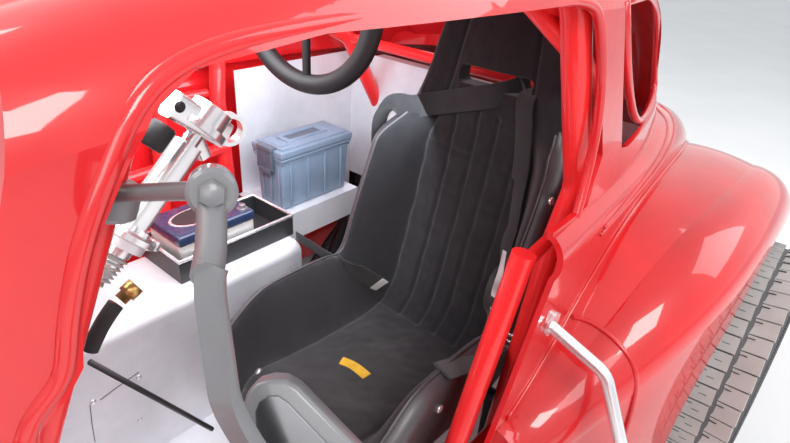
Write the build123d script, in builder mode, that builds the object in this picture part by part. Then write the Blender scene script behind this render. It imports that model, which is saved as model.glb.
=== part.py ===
from build123d import *
import os
from math import cos, radians, sin

os.makedirs("parts", exist_ok=True)

# Lengths are in millimetres. X points forward from mid wheelbase, Y to the left, Z up from the ground.
# The finished pieces are moved at the end so that the stored origin is the middle of the whole box.

# Wheels, tyres and steering
wheelbase = 1854
front_x = wheelbase / 2
rear_x = -wheelbase / 2
tyre_radius = 288
tyre_width = 205
wheel_y = 662
rim_radius = 165
rim_width = 132
drum_radius = 105
spindle_radius = 20
kingpin_y = 590
kingpin_radius = 8
knuckle_half = 88
steer_arm = 95
rack_z = 258

# Clearances
running_gap = 0.3
pin_gap = 0.08
panel_gap = 4

# Body
cowl_x = 335
tail_x = -1600
sill_z = 150
belt_z = 785
nose_x = 1165
grille_depth = 46
tilt_x = nose_x + grille_depth / 2
tilt_z = 252
tilt_steps = (4, 8, 12, 16)
skin = 8
door_wall = 18
door_front_x = 300
door_open_deg = 72
hinge_y = 458
hinge_radius = 7
fender_y = 690
fender_wall = 6
front_arch_radius = 350
rear_arch_radius = 325

# Frame and cage
rail_radius = 19
cross_radius = 18
rail_z = 125
rail_y = 380
front_end_x = 1290
rear_end_x = -1560
clip_y = 225
cage_radius = 19
brace_radius = 12.5
hoop_y = 438
roof_bar_z = 1095
rear_bar_x = -1690
stay_y = 160
well_radius = 120
dash_x = 275
dash_z = 770

# Cabin
floor_z = rail_z + rail_radius + running_gap
sheet = 2
tunnel_y = -105
tunnel_width = 195
tunnel_top_z = 468
tunnel_back_x = -395
seat_y = 178
seat_half = 208
seat_wall = 12
seat_base_z = 300
shaft_radius = 9.5
column_low = Vector(98, seat_y, 799)
column_high = Vector(-8, seat_y, 900)
link_low = Vector(1000, seat_y, 279)
wheel_hung_y = 100
wheel_hung_x = -235
wheel_ring = 111
wheel_grip = 14
column_line = (column_high - column_low).normalized()
joint_ball = column_low - column_line * 20
link_line = (link_low - joint_ball).normalized()

pieces = {}

# A cylinder that stands on the end it is placed at
on_end = (Align.CENTER, Align.CENTER, Align.MIN)


def keep(name, part):
    """Label a finished piece and hold it for storing."""
    part.label = name
    pieces[name] = part


def rod(start, end, radius, mode=Mode.ADD):
    """A round bar between two points, joined to the part being built."""
    span = Vector(*end) - Vector(*start)
    with Locations(Plane(origin=start, z_dir=span)):
        Cylinder(radius, span.length, align=on_end, mode=mode)


def bar(start, end, radius):
    """A loose round bar between two points."""
    span = Vector(*end) - Vector(*start)
    return Solid.make_cylinder(radius, span.length, Plane(origin=start, z_dir=span))


def bent_tube(points, radius, bend=50):
    """A tube bent round several points."""
    with BuildPart() as tube:
        with BuildLine() as path:
            FilletPolyline(*points, radius=bend)
        with BuildSketch(Plane(origin=points[0], z_dir=Vector(*points[1]) - Vector(*points[0]))):
            Circle(radius)
        sweep(path=path.line)
    return tube.part.solid()


def both_sides(points):
    """A run of points on the left and the same run mirrored on the right."""
    return [points, [(x, -y, z) for x, y, z in points]]


def block(low, high, mode=Mode.ADD):
    """A box between its lowest and highest corners."""
    size = [b - a for a, b in zip(low, high)]
    with Locations(tuple((a + b) / 2 for a, b in zip(low, high))):
        Box(*size, mode=mode)


def side_cut(outline, y_low, y_high, gap=0):
    """A prism across the car from an outline drawn in side view, drawn in by a gap."""
    with BuildPart() as prism:
        with BuildSketch(Plane.XZ.offset(-y_low)):
            with BuildLine():
                Polyline(*outline, close=True)
            make_face()
            if gap:
                offset(amount=-gap, kind=Kind.INTERSECTION)
        extrude(amount=y_low - y_high)
    return prism.part


def mirrored(part):
    """The right hand piece from the left hand one."""
    return mirror(part, about=Plane.XZ)


# Body skin
# Stations across the car: x, floor z, sill y, waist y, waist z, top edge y, top edge z, crown z
lower_stations = [
    (cowl_x, sill_z, 400, 440, 730, 420, 778, 812),
    (60, sill_z, 445, 495, 730, 477, 778, 806),
    (-380, sill_z, 452, 500, 730, 484, 780, 808),
    (-850, sill_z, 430, 475, 720, 425, belt_z, 835),
    (-1200, 160, 380, 425, 620, 345, 735, 792),
    (-1450, 180, 300, 335, 490, 250, 600, 665),
    (tail_x, 250, 215, 235, 380, 165, 455, 500),
]
roof_stations = [
    (cowl_x, 700, 424, 412, 985, 350, 1035, 1066),
    (180, 700, 457, 448, 1020, 368, 1075, 1112),
    (-120, 700, 487, 466, 1040, 378, 1112, 1160),
    (-380, 700, 490, 464, 1040, 376, 1118, 1168),
    (-640, 700, 477, 440, 1000, 348, 1080, 1134),
    (-840, 700, 454, 402, 900, 303, 965, 1012),
    (-960, 700, 430, 368, 780, 272, 835, 865),
]
hood_stations = [
    (cowl_x + panel_gap, 456, 419, 437, 728, 417, 775, 809),
    (700, 454, 327, 345, 700, 302, 748, 778),
    (nose_x - running_gap, 450, 197, 208, 640, 172, 690, 722),
]


def station(row, inset):
    """One closed outline across the car, drawn in by a wall thickness."""
    x, low_z, low_y, waist_y, waist_z, edge_y, edge_z, crown_z = row
    low_y, waist_y, crown_z = low_y - inset, waist_y - inset, crown_z - inset
    edge_y, edge_z = edge_y - 0.7 * inset, edge_z - 0.7 * inset
    bulge = 0.2
    mid_y = (waist_y + edge_y) / 2 + bulge * (edge_z - waist_z)
    mid_z = (waist_z + edge_z) / 2 + bulge * (waist_y - edge_y)
    with BuildSketch(Plane.YZ.offset(x)) as outline:
        with BuildLine():
            Polyline((-waist_y, waist_z), (-low_y, low_z), (low_y, low_z), (waist_y, waist_z))
            ThreePointArc((waist_y, waist_z), (mid_y, mid_z), (edge_y, edge_z))
            ThreePointArc((edge_y, edge_z), (0, crown_z), (-edge_y, edge_z))
            ThreePointArc((-edge_y, edge_z), (-mid_y, mid_z), (-waist_y, waist_z))
        make_face()
    return outline.sketch.face()


def hull(rows, inset=0, front=0, back=0, drop=0):
    """A smooth solid through the stations, its ends moved and its floor dropped where it cuts."""
    rows = [list(row) for row in rows]
    rows[0][0] += front
    rows[-1][0] += back
    for row in rows:
        row[2] -= drop * (row[3] - row[2]) / (row[4] - row[1])
        row[1] -= drop
    return loft([station(row, inset) for row in rows])


end_cut = 10
pillar_wall = 14

# Windscreen plane and side openings, drawn in side view: x, z
screen_foot = (312, 806)
screen_head = (184, 1180)
door_outline = [
    (door_front_x, belt_z + 2), (-296, belt_z + 2), (-232, 300), (286, 300), (door_front_x, 400),
]
door_window = [
    (door_front_x - 37, 838), (261, 862), (243, 879), (233, 894), (228, 922), (212, 968), (191, 1004),
    (173, 1029), (146, 1045), (60, 1055), (-322, 1052), (-345, 1030),
    (-430, 850), (-400, belt_z), (door_front_x - 30, belt_z),
]
quarter_window = [(-420, 1040), (-520, 836), (-560, 828), (-840, 838), (-868, 862), (-700, 1000), (-600, 1040)]
screen_half = 388
screen_low_z = 838
screen_high_z = 1066
deck_front_x = -1010
deck_back_x = -1440
deck_half = 225


def screen_prism(shift):
    """What lies ahead of the windscreen plane."""
    far_x = cowl_x + 100
    outline = [screen_foot, screen_head, (far_x, screen_head[1]), (far_x, screen_foot[1])]
    return side_cut([(x + shift if x < far_x else x, z) for x, z in outline], -700, 700)


def deck_prism(gap):
    """The upright prism of the deck opening, drawn in by a gap."""
    with BuildPart() as prism:
        with BuildSketch(Plane.XY.offset(500)):
            with Locations(((deck_front_x + deck_back_x) / 2, 0)):
                RectangleRounded(deck_front_x - deck_back_x - 2 * gap, 2 * (deck_half - gap), 50 - gap)
        extrude(amount=450)
    return prism.part


hinge_x = door_front_x + 3
lid_hinge_x = deck_front_x + 5
lid_hinge_y = 120
lid_hinge_z = 822
door_hinge_z = (400, 660)
barrel_half = 7
barrel_end = 22

lower_hull = hull(lower_stations)
outer_body = lower_hull + (hull(roof_stations) - screen_prism(0))
inner_body = hull(lower_stations, skin, front=end_cut, back=skin, drop=60)
inner_roof = hull(roof_stations, skin, front=end_cut, back=skin) - screen_prism(-pillar_wall)

with BuildPart() as body_shell:
    add(outer_body)
    add(inner_body, mode=Mode.SUBTRACT)
    add(inner_roof, mode=Mode.SUBTRACT)
    for opening in (door_outline, door_window, quarter_window):
        add(side_cut(opening, -700, -300), mode=Mode.SUBTRACT)
        add(side_cut(opening, 300, 700), mode=Mode.SUBTRACT)
    # Windscreen opening
    with BuildSketch(Plane.YZ.offset(150)):
        with Locations((0, (screen_low_z + screen_high_z) / 2)):
            RectangleRounded(2 * screen_half, screen_high_z - screen_low_z, 60)
    extrude(amount=250, mode=Mode.SUBTRACT)
    # Rear window
    with BuildSketch(Plane.YZ.offset(-1100)):
        with Locations((0, 955)):
            RectangleRounded(420, 130, 45)
    extrude(amount=420, mode=Mode.SUBTRACT)
    add(deck_prism(0), mode=Mode.SUBTRACT)
    # Holes for the rear axle and for the bumper stays
    for side in (-1, 1):
        rod((rear_x, side * 360, tyre_radius), (rear_x, side * 520, tyre_radius), well_radius, Mode.SUBTRACT)
        block((rear_x - 95, side * 440 - 80, 100), (rear_x + 95, side * 440 + 80, tyre_radius), Mode.SUBTRACT)
        rod((rear_bar_x, side * stay_y, 290), (rear_end_x, side * stay_y, 240), 17, mode=Mode.SUBTRACT)
    # Barrels of the deck hinges
    for y in (-lid_hinge_y, lid_hinge_y):
        block((lid_hinge_x - 10, y - 7.6, lid_hinge_z - 20), (lid_hinge_x + 9, y + 7.6, lid_hinge_z + 10),
              mode=Mode.SUBTRACT)
        for low in (-22, 7 + running_gap):
            with Locations(Plane(origin=(lid_hinge_x, y + low, lid_hinge_z), z_dir=(0, 1, 0))):
                Cylinder(6, 15 - running_gap, align=on_end)
            block((lid_hinge_x, y + low, lid_hinge_z - 16),
                  (lid_hinge_x + 18, y + low + 15 - running_gap, lid_hinge_z))
    # Middle barrels of the door hinges
    for side in (-1, 1):
        for z in door_hinge_z:
            with Locations((hinge_x, side * hinge_y, z)):
                Cylinder(hinge_radius, 2 * barrel_half)
            with Locations((hinge_x + 8, side * (hinge_y - 22), z)):
                Box(14, 44, 2 * barrel_half)
keep("body_shell", body_shell.part)

# Doors, cut from the same skin
with BuildPart() as door:
    add(side_cut(door_outline, 300, 600, panel_gap))
    add(lower_hull, mode=Mode.INTERSECT)
    add(hull(lower_stations, door_wall, front=end_cut, back=door_wall, drop=60), mode=Mode.SUBTRACT)
    add(hull(roof_stations, door_wall - 2, front=end_cut, drop=20), mode=Mode.SUBTRACT)
    for z in door_hinge_z:
        for low, high in ((-barrel_end, -barrel_half - running_gap), (barrel_half + running_gap, barrel_end)):
            with Locations((hinge_x, hinge_y, z + (low + high) / 2)):
                Cylinder(hinge_radius, high - low)
            block((hinge_x - 17, hinge_y - 44, z + low), (hinge_x - 8, hinge_y + hinge_radius, z + high))
            block((hinge_x - 17, hinge_y - 3, z + low), (hinge_x, hinge_y + hinge_radius, z + high))
closed_door = door.part
door_axis = Axis((hinge_x, hinge_y, 0), (0, 0, 1))
keep("door_left", closed_door.rotate(door_axis, -door_open_deg))
keep("door_right", mirrored(closed_door))

# Engine cover, tilting forward with the radiator shell
hood_wall = 5
with BuildPart() as hood:
    add(hull(hood_stations))
    add(hull(hood_stations, hood_wall, drop=60), mode=Mode.SUBTRACT)
keep("hood", hood.part)

# Deck lid, hinged under the rear window
with BuildPart() as deck_lid:
    add(deck_prism(panel_gap))
    add(lower_hull, mode=Mode.INTERSECT)
    add(hull(lower_stations, skin, front=end_cut, back=skin, drop=60), mode=Mode.SUBTRACT)
    for y in (-lid_hinge_y, lid_hinge_y):
        with Locations(Plane(origin=(lid_hinge_x, y - 7, lid_hinge_z), z_dir=(0, 1, 0))):
            Cylinder(6, 14, align=on_end)
        block((lid_hinge_x - 24, y - 7, lid_hinge_z - 17), (lid_hinge_x, y + 7, lid_hinge_z))
keep("deck_lid", deck_lid.part)


# Fenders
# Stations across a fender: x, low z, inner y, inner z, crown y, crown z, outer y, outer z
front_fender_stations = [
    (1305, 340, 440, 352, 560, 405, 650, 360),
    (1240, 300, 330, 425, 568, 560, 684, 470),
    (1100, 280, 255, 470, 578, 655, fender_y, 560),
    (front_x, 280, 255, 480, 582, 692, fender_y, 600),
    (750, 260, 320, 455, 584, 640, fender_y, 540),
    (600, 220, 450, 390, 590, 490, fender_y - 2, 400),
    (430, 180, 455, 255, 600, 300, 680, 245),
]
rear_fender_stations = [
    (-262, 200, 400, 452, 475, 458, 530, 390),
    (-450, 215, 400, 585, 540, 580, 617, 500),
    (-620, 235, 400, 688, 570, 682, 672, 600),
    (-860, 240, 400, 705, 590, 708, fender_y, 630),
    (-1060, 240, 390, 690, 590, 692, fender_y, 605),
    (-1260, 250, 350, 600, 568, 590, 672, 480),
    (-1400, 270, 300, 450, 535, 440, 628, 345),
]


def fender_station(row, inset, reach):
    """One closed outline across a fender, drawn in by its wall and reaching further inwards below."""
    x, low_z, in_y, in_z, top_y, top_z, out_y, out_z = row
    in_z, top_z, out_y = in_z - inset, top_z - inset, out_y - inset
    in_mid = ((in_y + top_y) / 2, (in_z + top_z) / 2 + 0.06 * (top_y - in_y))
    out_mid = (top_y + 0.7 * (out_y - top_y), out_z + 0.74 * (top_z - out_z))
    with BuildSketch(Plane.YZ.offset(x)) as outline:
        with BuildLine():
            Polyline((out_y, out_z), (out_y, low_z), (in_y - reach, low_z), (in_y - reach, in_z - 1),
                     (in_y, in_z))
            ThreePointArc((in_y, in_z), in_mid, (top_y, top_z))
            ThreePointArc((top_y, top_z), out_mid, (out_y, out_z))
        make_face()
    return outline.sketch.face()


def fender_hull(rows, inset=0, ends=0, drop=0, reach=1):
    """A smooth fender solid, or its hollow."""
    rows = [list(row) for row in rows]
    inwards = -1 if rows[0][0] > rows[-1][0] else 1
    rows[0][0] += inwards * ends
    rows[-1][0] -= inwards * ends
    for row in rows:
        row[1] -= drop
    return loft([fender_station(row, inset, reach) for row in rows])


rail_slope = ((700, clip_y, 205), (380, rail_y, rail_z))
body_relief = hull(lower_stations, -running_gap)
hood_relief = hull(hood_stations, -panel_gap - 2)

with BuildPart() as fender_front:
    add(fender_hull(front_fender_stations))
    add(fender_hull(front_fender_stations, fender_wall, fender_wall, drop=120, reach=40), mode=Mode.SUBTRACT)
    add(body_relief, mode=Mode.SUBTRACT)
    add(hood_relief, mode=Mode.SUBTRACT)
    # Room for the engine cover as it starts to tilt
    for angle in tilt_steps:
        add(hood_relief.rotate(Axis((tilt_x, 0, tilt_z), (0, 1, 0)), angle), mode=Mode.SUBTRACT)
    with Locations(Plane(origin=(front_x, 450, tyre_radius), z_dir=(0, 1, 0))):
        Cylinder(front_arch_radius, 300, align=on_end, mode=Mode.SUBTRACT)
    # Brackets to the frame rail and to the front cross tube
    rod((470, 338, 150), (470, 677, 236), 9)
    rod((front_end_x, 200, 205), (front_end_x, 562, 424), 8)
    add(bar(*rail_slope, rail_radius + running_gap), mode=Mode.SUBTRACT)
    add(bar((700, clip_y, 205), (front_end_x, clip_y, 205), rail_radius + running_gap), mode=Mode.SUBTRACT)
    add(bar((front_end_x, -clip_y, 205), (front_end_x, clip_y + 30, 205), rail_radius + running_gap),
        mode=Mode.SUBTRACT)
keep("fender_front_left", fender_front.part)
keep("fender_front_right", mirrored(fender_front.part))

with BuildPart() as fender_rear:
    add(fender_hull(rear_fender_stations))
    add(fender_hull(rear_fender_stations, fender_wall, fender_wall, drop=120, reach=40), mode=Mode.SUBTRACT)
    add(body_relief, mode=Mode.SUBTRACT)
    with Locations(Plane(origin=(rear_x, 600, tyre_radius), z_dir=(0, 1, 0))):
        Cylinder(rear_arch_radius, 300, align=on_end, mode=Mode.SUBTRACT)
keep("fender_rear_left", fender_rear.part)
keep("fender_rear_right", mirrored(fender_rear.part))

# Radiator shell with its bars
tilt_y = 50
tilt_radius = 8
bar_pitch = 21
grille_outline = [(0, 268), (95, 300), (170, 400), (206, 560), (206, 640), (165, 700), (90, 728), (0, 740)]
grille_half = [(y, z) for y, z in grille_outline]
with BuildPart() as grille:
    with BuildSketch(Plane.YZ.offset(nose_x)) as shield:
        with BuildLine():
            Polyline(*grille_half, *[(-y, z) for y, z in reversed(grille_half[1:-1])], close=True)
        make_face()
        fillet(shield.vertices(), 16)
    extrude(amount=grille_depth)
    with BuildSketch(Plane.YZ.offset(nose_x)) as throat:
        with BuildLine():
            Polyline(*grille_half, *[(-y, z) for y, z in reversed(grille_half[1:-1])], close=True)
        make_face()
        offset(amount=-26, kind=Kind.INTERSECTION)
    extrude(amount=grille_depth, mode=Mode.SUBTRACT)
    with BuildSketch(Plane.YZ.offset(nose_x + 20)) as bars:
        for index in range(-8, 9):
            with Locations((index * bar_pitch, 500)):
                Rectangle(6, 480)
        with BuildLine() as edge:
            Polyline(*grille_half, *[(-y, z) for y, z in reversed(grille_half[1:-1])], close=True)
        make_face(mode=Mode.INTERSECT)
    extrude(amount=12)
    # Lugs round the tilt tube
    for y in (-tilt_y, tilt_y):
        block((tilt_x - 12, y - 8, tilt_z), (tilt_x + 12, y + 8, tilt_z + 48))
        with Locations(Plane(origin=(tilt_x, y - 8, tilt_z), z_dir=(0, 1, 0))):
            Cylinder(14, 16, align=on_end)
            Cylinder(tilt_radius + pin_gap, 16, align=on_end, mode=Mode.SUBTRACT)
keep("grille", grille.part)

# Lamps
lamp_x = 1120
lamp_y = 330
lamp_z = 560
lamp_relief = fender_hull(front_fender_stations, -running_gap)
with BuildPart() as headlamps:
    for side in (-1, 1):
        with Locations(Plane(origin=(lamp_x, side * lamp_y, lamp_z), z_dir=(1, 0, 0))):
            Cone(34, 72, 80, align=on_end)
        with Locations(Plane(origin=(lamp_x + 80, side * lamp_y, lamp_z), z_dir=(1, 0, 0))):
            Cylinder(74, 16, align=on_end)
        rod((lamp_x + 30, side * lamp_y, lamp_z), (lamp_x + 20, side * (lamp_y + 30), 420), 11)
    add(lamp_relief, mode=Mode.SUBTRACT)
    add(mirrored(lamp_relief), mode=Mode.SUBTRACT)
keep("headlamps", headlamps.part)

# Frame: rails, clips and cross tubes
low_rail = [
    (front_end_x, clip_y, 205), (700, clip_y, 205), (380, rail_y, rail_z), (-560, rail_y, rail_z),
    (-700, 330, 180), (-820, 330, 375), (-1040, 330, 375), (-1180, 300, 240), (rear_end_x, 200, 240),
]
high_rail = [(1120, 165, 400), (900, 180, 430), (296, 268, 545), (296, 350, 690)]
cross_tubes = [
    # x, half span, z, radius
    (front_end_x, clip_y, 205, cross_radius),
    (tilt_x + 30, clip_y, 205, brace_radius),
    (820, clip_y, 205, cross_radius),
    (330, rail_y, rail_z, cross_radius),
    (-40, rail_y, rail_z, cross_radius),
    (-540, rail_y, rail_z, cross_radius),
    (-170, rail_y, rail_z, brace_radius),
    (-480, rail_y, rail_z, brace_radius),
    (-1040, 330, 375, cross_radius),
    (rear_end_x, 200, 240, cross_radius),
    (1120, 165, 400, brace_radius),
    (tilt_x, 80, tilt_z, tilt_radius),
]
struts = [
    # x, low y, low z, high y, high z
    (1120, clip_y, 205, 165, 400),
    (600, 264, 180, 224, 487),
]
seat_rail_z = seat_base_z - brace_radius - running_gap
post_y = 185
frame_tubes = [bent_tube(run, rail_radius) for run in both_sides(low_rail)]
frame_tubes += [bent_tube(run, brace_radius) for run in both_sides(high_rail)]
frame_tubes += [bar((x, -half, z), (x, half, z), radius) for x, half, z, radius in cross_tubes]
frame_tubes += [bar((x, side * low_y, low_z), (x, side * high_y, high_z), brace_radius)
                for x, low_y, low_z, high_y, high_z in struts for side in (-1, 1)]
frame_tubes += [bar((tilt_x, y, tilt_z), (tilt_x + 30, y, 205), 6) for y in (-74, 74)]
# Seat bars on posts from the cross tubes
for x in (-170, -480):
    frame_tubes.append(bar((x, seat_y - 200, seat_rail_z), (x, seat_y + 200, seat_rail_z), brace_radius))
    frame_tubes += [bar((x, seat_y + y, rail_z), (x, seat_y + y, seat_rail_z), 11) for y in (-post_y, post_y)]
# Cage
hoop_side = [(-430, 398, rail_z + rail_radius + running_gap), (-432, hoop_y, 700), (-446, hoop_y + 8, 788),
             (-340, hoop_y - 10, 1070), (-334, 330, roof_bar_z)]
pillar_side = [(-336, 385, 1070), (60, 385, 1068), (150, 372, 1038), (262, 388, 810), (300, 365, 690),
               (300, 370, rail_z + rail_radius + running_gap)]
hook_x = -282
hook_z = 1100
stay_side = [(-352, 400, 1052), (-760, 330, 830), (-1040, 330, 392)]
with BuildPart() as chassis:
    add(frame_tubes)
    add([bent_tube(run, cage_radius + running_gap) for run in both_sides(pillar_side)], mode=Mode.SUBTRACT)
keep("chassis_frame", chassis.part)

main_hoop = hoop_side + [(x, -y, z) for x, y, z in reversed(hoop_side)]
cage_tubes = [bent_tube(main_hoop, cage_radius, 60)]
cage_tubes += [bent_tube(run, cage_radius) for run in both_sides(pillar_side) + both_sides(stay_side)]
cage_tubes += [bar((x, -half, z), (x, half, z), radius) for x, half, z, radius in (
    (150, 372, 1038, cage_radius),
    (hook_x, 385, 1070, brace_radius),
    (dash_x, 384, dash_z, brace_radius),
    (-760, 330, 830, brace_radius),
)]
for side in (-1, 1):
    cage_tubes.append(bar((-376, side * 434, 980), (-345, side * 290, roof_bar_z), brace_radius))
    cage_tubes.append(bar((-430, side * 402, 250), (300, side * 370, 250), brace_radius))
cage_tubes += [bar((-430, -y, z), (300, -362, z), brace_radius) for z, y in ((430, 406), (590, 418))]
# Hook for the steering wheel
cage_tubes.append(bar((hook_x, wheel_hung_y, 1070), (hook_x, wheel_hung_y, hook_z + 3), 5))
cage_tubes.append(bar((hook_x, wheel_hung_y, hook_z), (wheel_hung_x + 26, wheel_hung_y, hook_z), 4))
with BuildPart() as cage:
    add(cage_tubes)
    # Stay feet shaped to the rails they stand on
    rod((-1040, -330, 375), (-1040, 330, 375), rail_radius + running_gap, mode=Mode.SUBTRACT)
    for side in (-1, 1):
        rod((-820, side * 330, 375), (-1100, side * 330, 375), rail_radius + running_gap, mode=Mode.SUBTRACT)
keep("roll_cage", cage.part)

# Door jamb posts
post_radius = 17
with BuildPart() as jambs:
    for side in (-1, 1):
        rod((-296, side * 452, 740), (-224, side * 415, 250), post_radius)
        rod((-300, side * 452, 722), (-410, side * 445, 722), 10)
        rod((-230, side * 412, 290), (-400, side * 412, 290), 10)
        rod((-432, side * hoop_y, 690), (-446, side * (hoop_y + 8), 790), cage_radius + running_gap,
            Mode.SUBTRACT)
        rod((-430, side * 398, 142), (-432, side * hoop_y, 700), cage_radius + running_gap, Mode.SUBTRACT)
        rod((-430, side * 402, 250), (300, side * 370, 250), brace_radius + running_gap, Mode.SUBTRACT)
keep("jamb_posts", jambs.part)

# Floor, firewall, tunnel and inner panels
firewall_x = cowl_x - 12
with BuildPart() as floor_pan:
    block((-546, -392, floor_z), (firewall_x, 392, floor_z + sheet))
    with BuildSketch(Plane.YZ.offset(firewall_x)):
        with BuildLine():
            Polyline((-388, floor_z), (388, floor_z), (424, 722), (382, 774), (-382, 774), (-424, 722),
                     close=True)
        make_face()
        with Locations((tunnel_y - tunnel_width / 2, (floor_z + tunnel_top_z) / 2)):
            Rectangle(tunnel_width - 24, tunnel_top_z - floor_z - 24, mode=Mode.SUBTRACT)
    extrude(amount=-sheet)
    rod(joint_ball, link_low, 22, mode=Mode.SUBTRACT)
    # Notches round the cage legs and seat posts
    for side in (-1, 1):
        for x, y, half in ((300, 370, 20), (-430, 398, 20)):
            block((x - half, side * y - half, 140), (x + half, side * y + half, 150), mode=Mode.SUBTRACT)
    for x in (-170, -480):
        for y in (seat_y - post_y, seat_y + post_y):
            block((x - 13, y - 13, 140), (x + 13, y + 13, 150), mode=Mode.SUBTRACT)
    add([bent_tube(run, brace_radius + 2) for run in both_sides(high_rail)], mode=Mode.SUBTRACT)
keep("floor_pan", floor_pan.part)

tunnel_low_z = floor_z + sheet + running_gap
with BuildPart() as tunnel:
    with BuildSketch(Plane.YZ.offset(tunnel_back_x)) as hump:
        with Locations((tunnel_y - tunnel_width / 2, (tunnel_low_z + tunnel_top_z) / 2)):
            Rectangle(tunnel_width, tunnel_top_z - tunnel_low_z)
        fillet(hump.vertices().group_by(Axis.Y)[-1], 22)
    extrude(amount=firewall_x - sheet - running_gap - tunnel_back_x)
    with BuildSketch(Plane.YZ.offset(tunnel_back_x + sheet)) as hollow:
        with Locations((tunnel_y - tunnel_width / 2, (tunnel_low_z + tunnel_top_z) / 2 - sheet)):
            Rectangle(tunnel_width - 2 * sheet, tunnel_top_z - tunnel_low_z)
        fillet(hollow.vertices().group_by(Axis.Y)[-1], 20)
    extrude(amount=800, mode=Mode.SUBTRACT)
keep("center_tunnel", tunnel.part)

bulkhead_x = -866
panel_y = -418
panel_top_z = 770
with BuildPart() as panels:
    # Right side panel behind the hoop, with the shelf for the storage box
    block((bulkhead_x, panel_y - sheet, 300), (-470, panel_y, panel_top_z))
    block((-715, panel_y, 452), (-455, -240, 454))
    block((-715, -242, 380), (-455, -240, 454))
    # Upright panel behind the seat
    block((bulkhead_x - sheet, panel_y - sheet, 400), (bulkhead_x, -panel_y, panel_top_z))
    block((bulkhead_x - 34, -330, panel_top_z - sheet), (bulkhead_x, 330, panel_top_z))
    for side in (-1, 1):
        rod((-760, side * 330, 830), (-1040, side * 330, 392), cage_radius + running_gap, mode=Mode.SUBTRACT)
keep("inner_panels", panels.part)

# Dash and steering column support
with BuildPart() as dash:
    with BuildSketch(Plane.YZ.offset(dash_x + brace_radius + running_gap)) as board:
        with Locations((0, dash_z - 30)):
            RectangleRounded(684, 110, 20)
    extrude(amount=3)
    with Locations(Plane(origin=(dash_x - 60, 60, dash_z + 40), z_dir=(-1, 0, 0.2))):
        Cylinder(48, 60)
    rod((dash_x - 40, 60, dash_z + 30), (dash_x + 14, 60, dash_z), 8)
    # Bearing flange and its arm to the cross tube
    with Locations(Plane(origin=column_low, z_dir=column_line)):
        Cylinder(26, 12, align=on_end)
    rod((112, seat_y, 815), (dash_x - 6, seat_y, dash_z + 12), 7)
    rod(joint_ball, column_high, shaft_radius + running_gap, mode=Mode.SUBTRACT)
    rod((dash_x, -300, dash_z), (dash_x, 300, dash_z), brace_radius + running_gap, mode=Mode.SUBTRACT)
    rod(joint_ball, link_low, 15 + panel_gap, mode=Mode.SUBTRACT)
keep("dash_panel", dash.part)

with BuildPart() as steering_shaft:
    rod(joint_ball, column_high, shaft_radius)
    with Locations(Plane(origin=column_high, z_dir=column_line)):
        Cylinder(23, 30, align=on_end)
        Cylinder(30, 8, align=on_end)
    with Locations(joint_ball):
        Sphere(15)
keep("steering_shaft", steering_shaft.part)

with BuildPart() as link_shaft:
    rod(joint_ball + link_line * (15 + running_gap), link_low, shaft_radius)
    rod(joint_ball + link_line * (15 + running_gap), joint_ball + link_line * 40, 14)
keep("link_shaft", link_shaft.part)

# Steering wheel taken off its hub and hung from the roof bar
hung_z = hook_z + 4 + wheel_grip - wheel_ring + running_gap
hung_turn = 8
wheel_plane = Plane(origin=(wheel_hung_x, wheel_hung_y, hung_z),
                    x_dir=(sin(radians(hung_turn)), -cos(radians(hung_turn)), 0),
                    z_dir=(cos(radians(hung_turn)), sin(radians(hung_turn)), 0))
with BuildPart() as hung_wheel:
    with Locations(wheel_plane):
        Torus(wheel_ring, wheel_grip)
        Cylinder(30, 20)
    for angle in (90, 210, 330):
        aim = Vector(cos(radians(angle)), sin(radians(angle)), 0)
        rod(wheel_plane.from_local_coords(aim * 22), wheel_plane.from_local_coords(aim * (wheel_ring - 2)), 6)
keep("steering_wheel", hung_wheel.part)

# Pedals on the floor
pedal_base_z = floor_z + sheet + running_gap
with BuildPart() as pedals:
    block((185, 62, pedal_base_z), (300, 288, pedal_base_z + 8))
    for y in (95, 175, 255):
        block((252, y - 6, pedal_base_z + 4), (268, y + 6, 200))
        block((254, y - 5, 190), (266, y + 5, 322))
        with Locations(Plane(origin=(262, y, 318), z_dir=(-1, 0, 0.35))):
            Box(74, 50, 10)
    rod((260, 70, 178), (260, 280, 178), 6)
keep("pedals", pedals.part)

# Battery in its tray and the storage box on its shelf
tray_low = (-408, -285, tunnel_top_z + running_gap)
tray_high = (-130, -147, tunnel_top_z + 48)
with BuildPart() as tray:
    block(tray_low, tray_high)
    block([c + sheet for c in tray_low], (tray_high[0] - sheet, tray_high[1] - sheet, tray_high[2] + 5),
          Mode.SUBTRACT)
keep("battery_tray", tray.part)

with BuildPart() as battery:
    block((-318, -276, tunnel_top_z + 3), (-142, -158, tunnel_top_z + 92))
    fillet(battery.edges().filter_by(Axis.Z), 12)
    fillet(battery.faces().sort_by(Axis.Z)[-1].edges(), 5)
keep("battery", battery.part)

box_low = (-704, -366, 454.3)
box_high = (-468, -254, 622)
with BuildPart() as storage_box:
    with BuildSketch(Plane.XY.offset(box_low[2])) as base:
        with Locations(((box_low[0] + box_high[0]) / 2, (box_low[1] + box_high[1]) / 2)):
            RectangleRounded(box_high[0] - box_low[0] - 16, box_high[1] - box_low[1] - 12, 8)
    extrude(amount=box_high[2] - box_low[2] - 26)
    with BuildSketch(Plane.XY.offset(box_high[2] - 27)) as lid:
        with Locations(((box_low[0] + box_high[0]) / 2, (box_low[1] + box_high[1]) / 2)):
            RectangleRounded(box_high[0] - box_low[0], box_high[1] - box_low[1], 10)
    extrude(amount=27)
keep("storage_box", storage_box.part)

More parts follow.
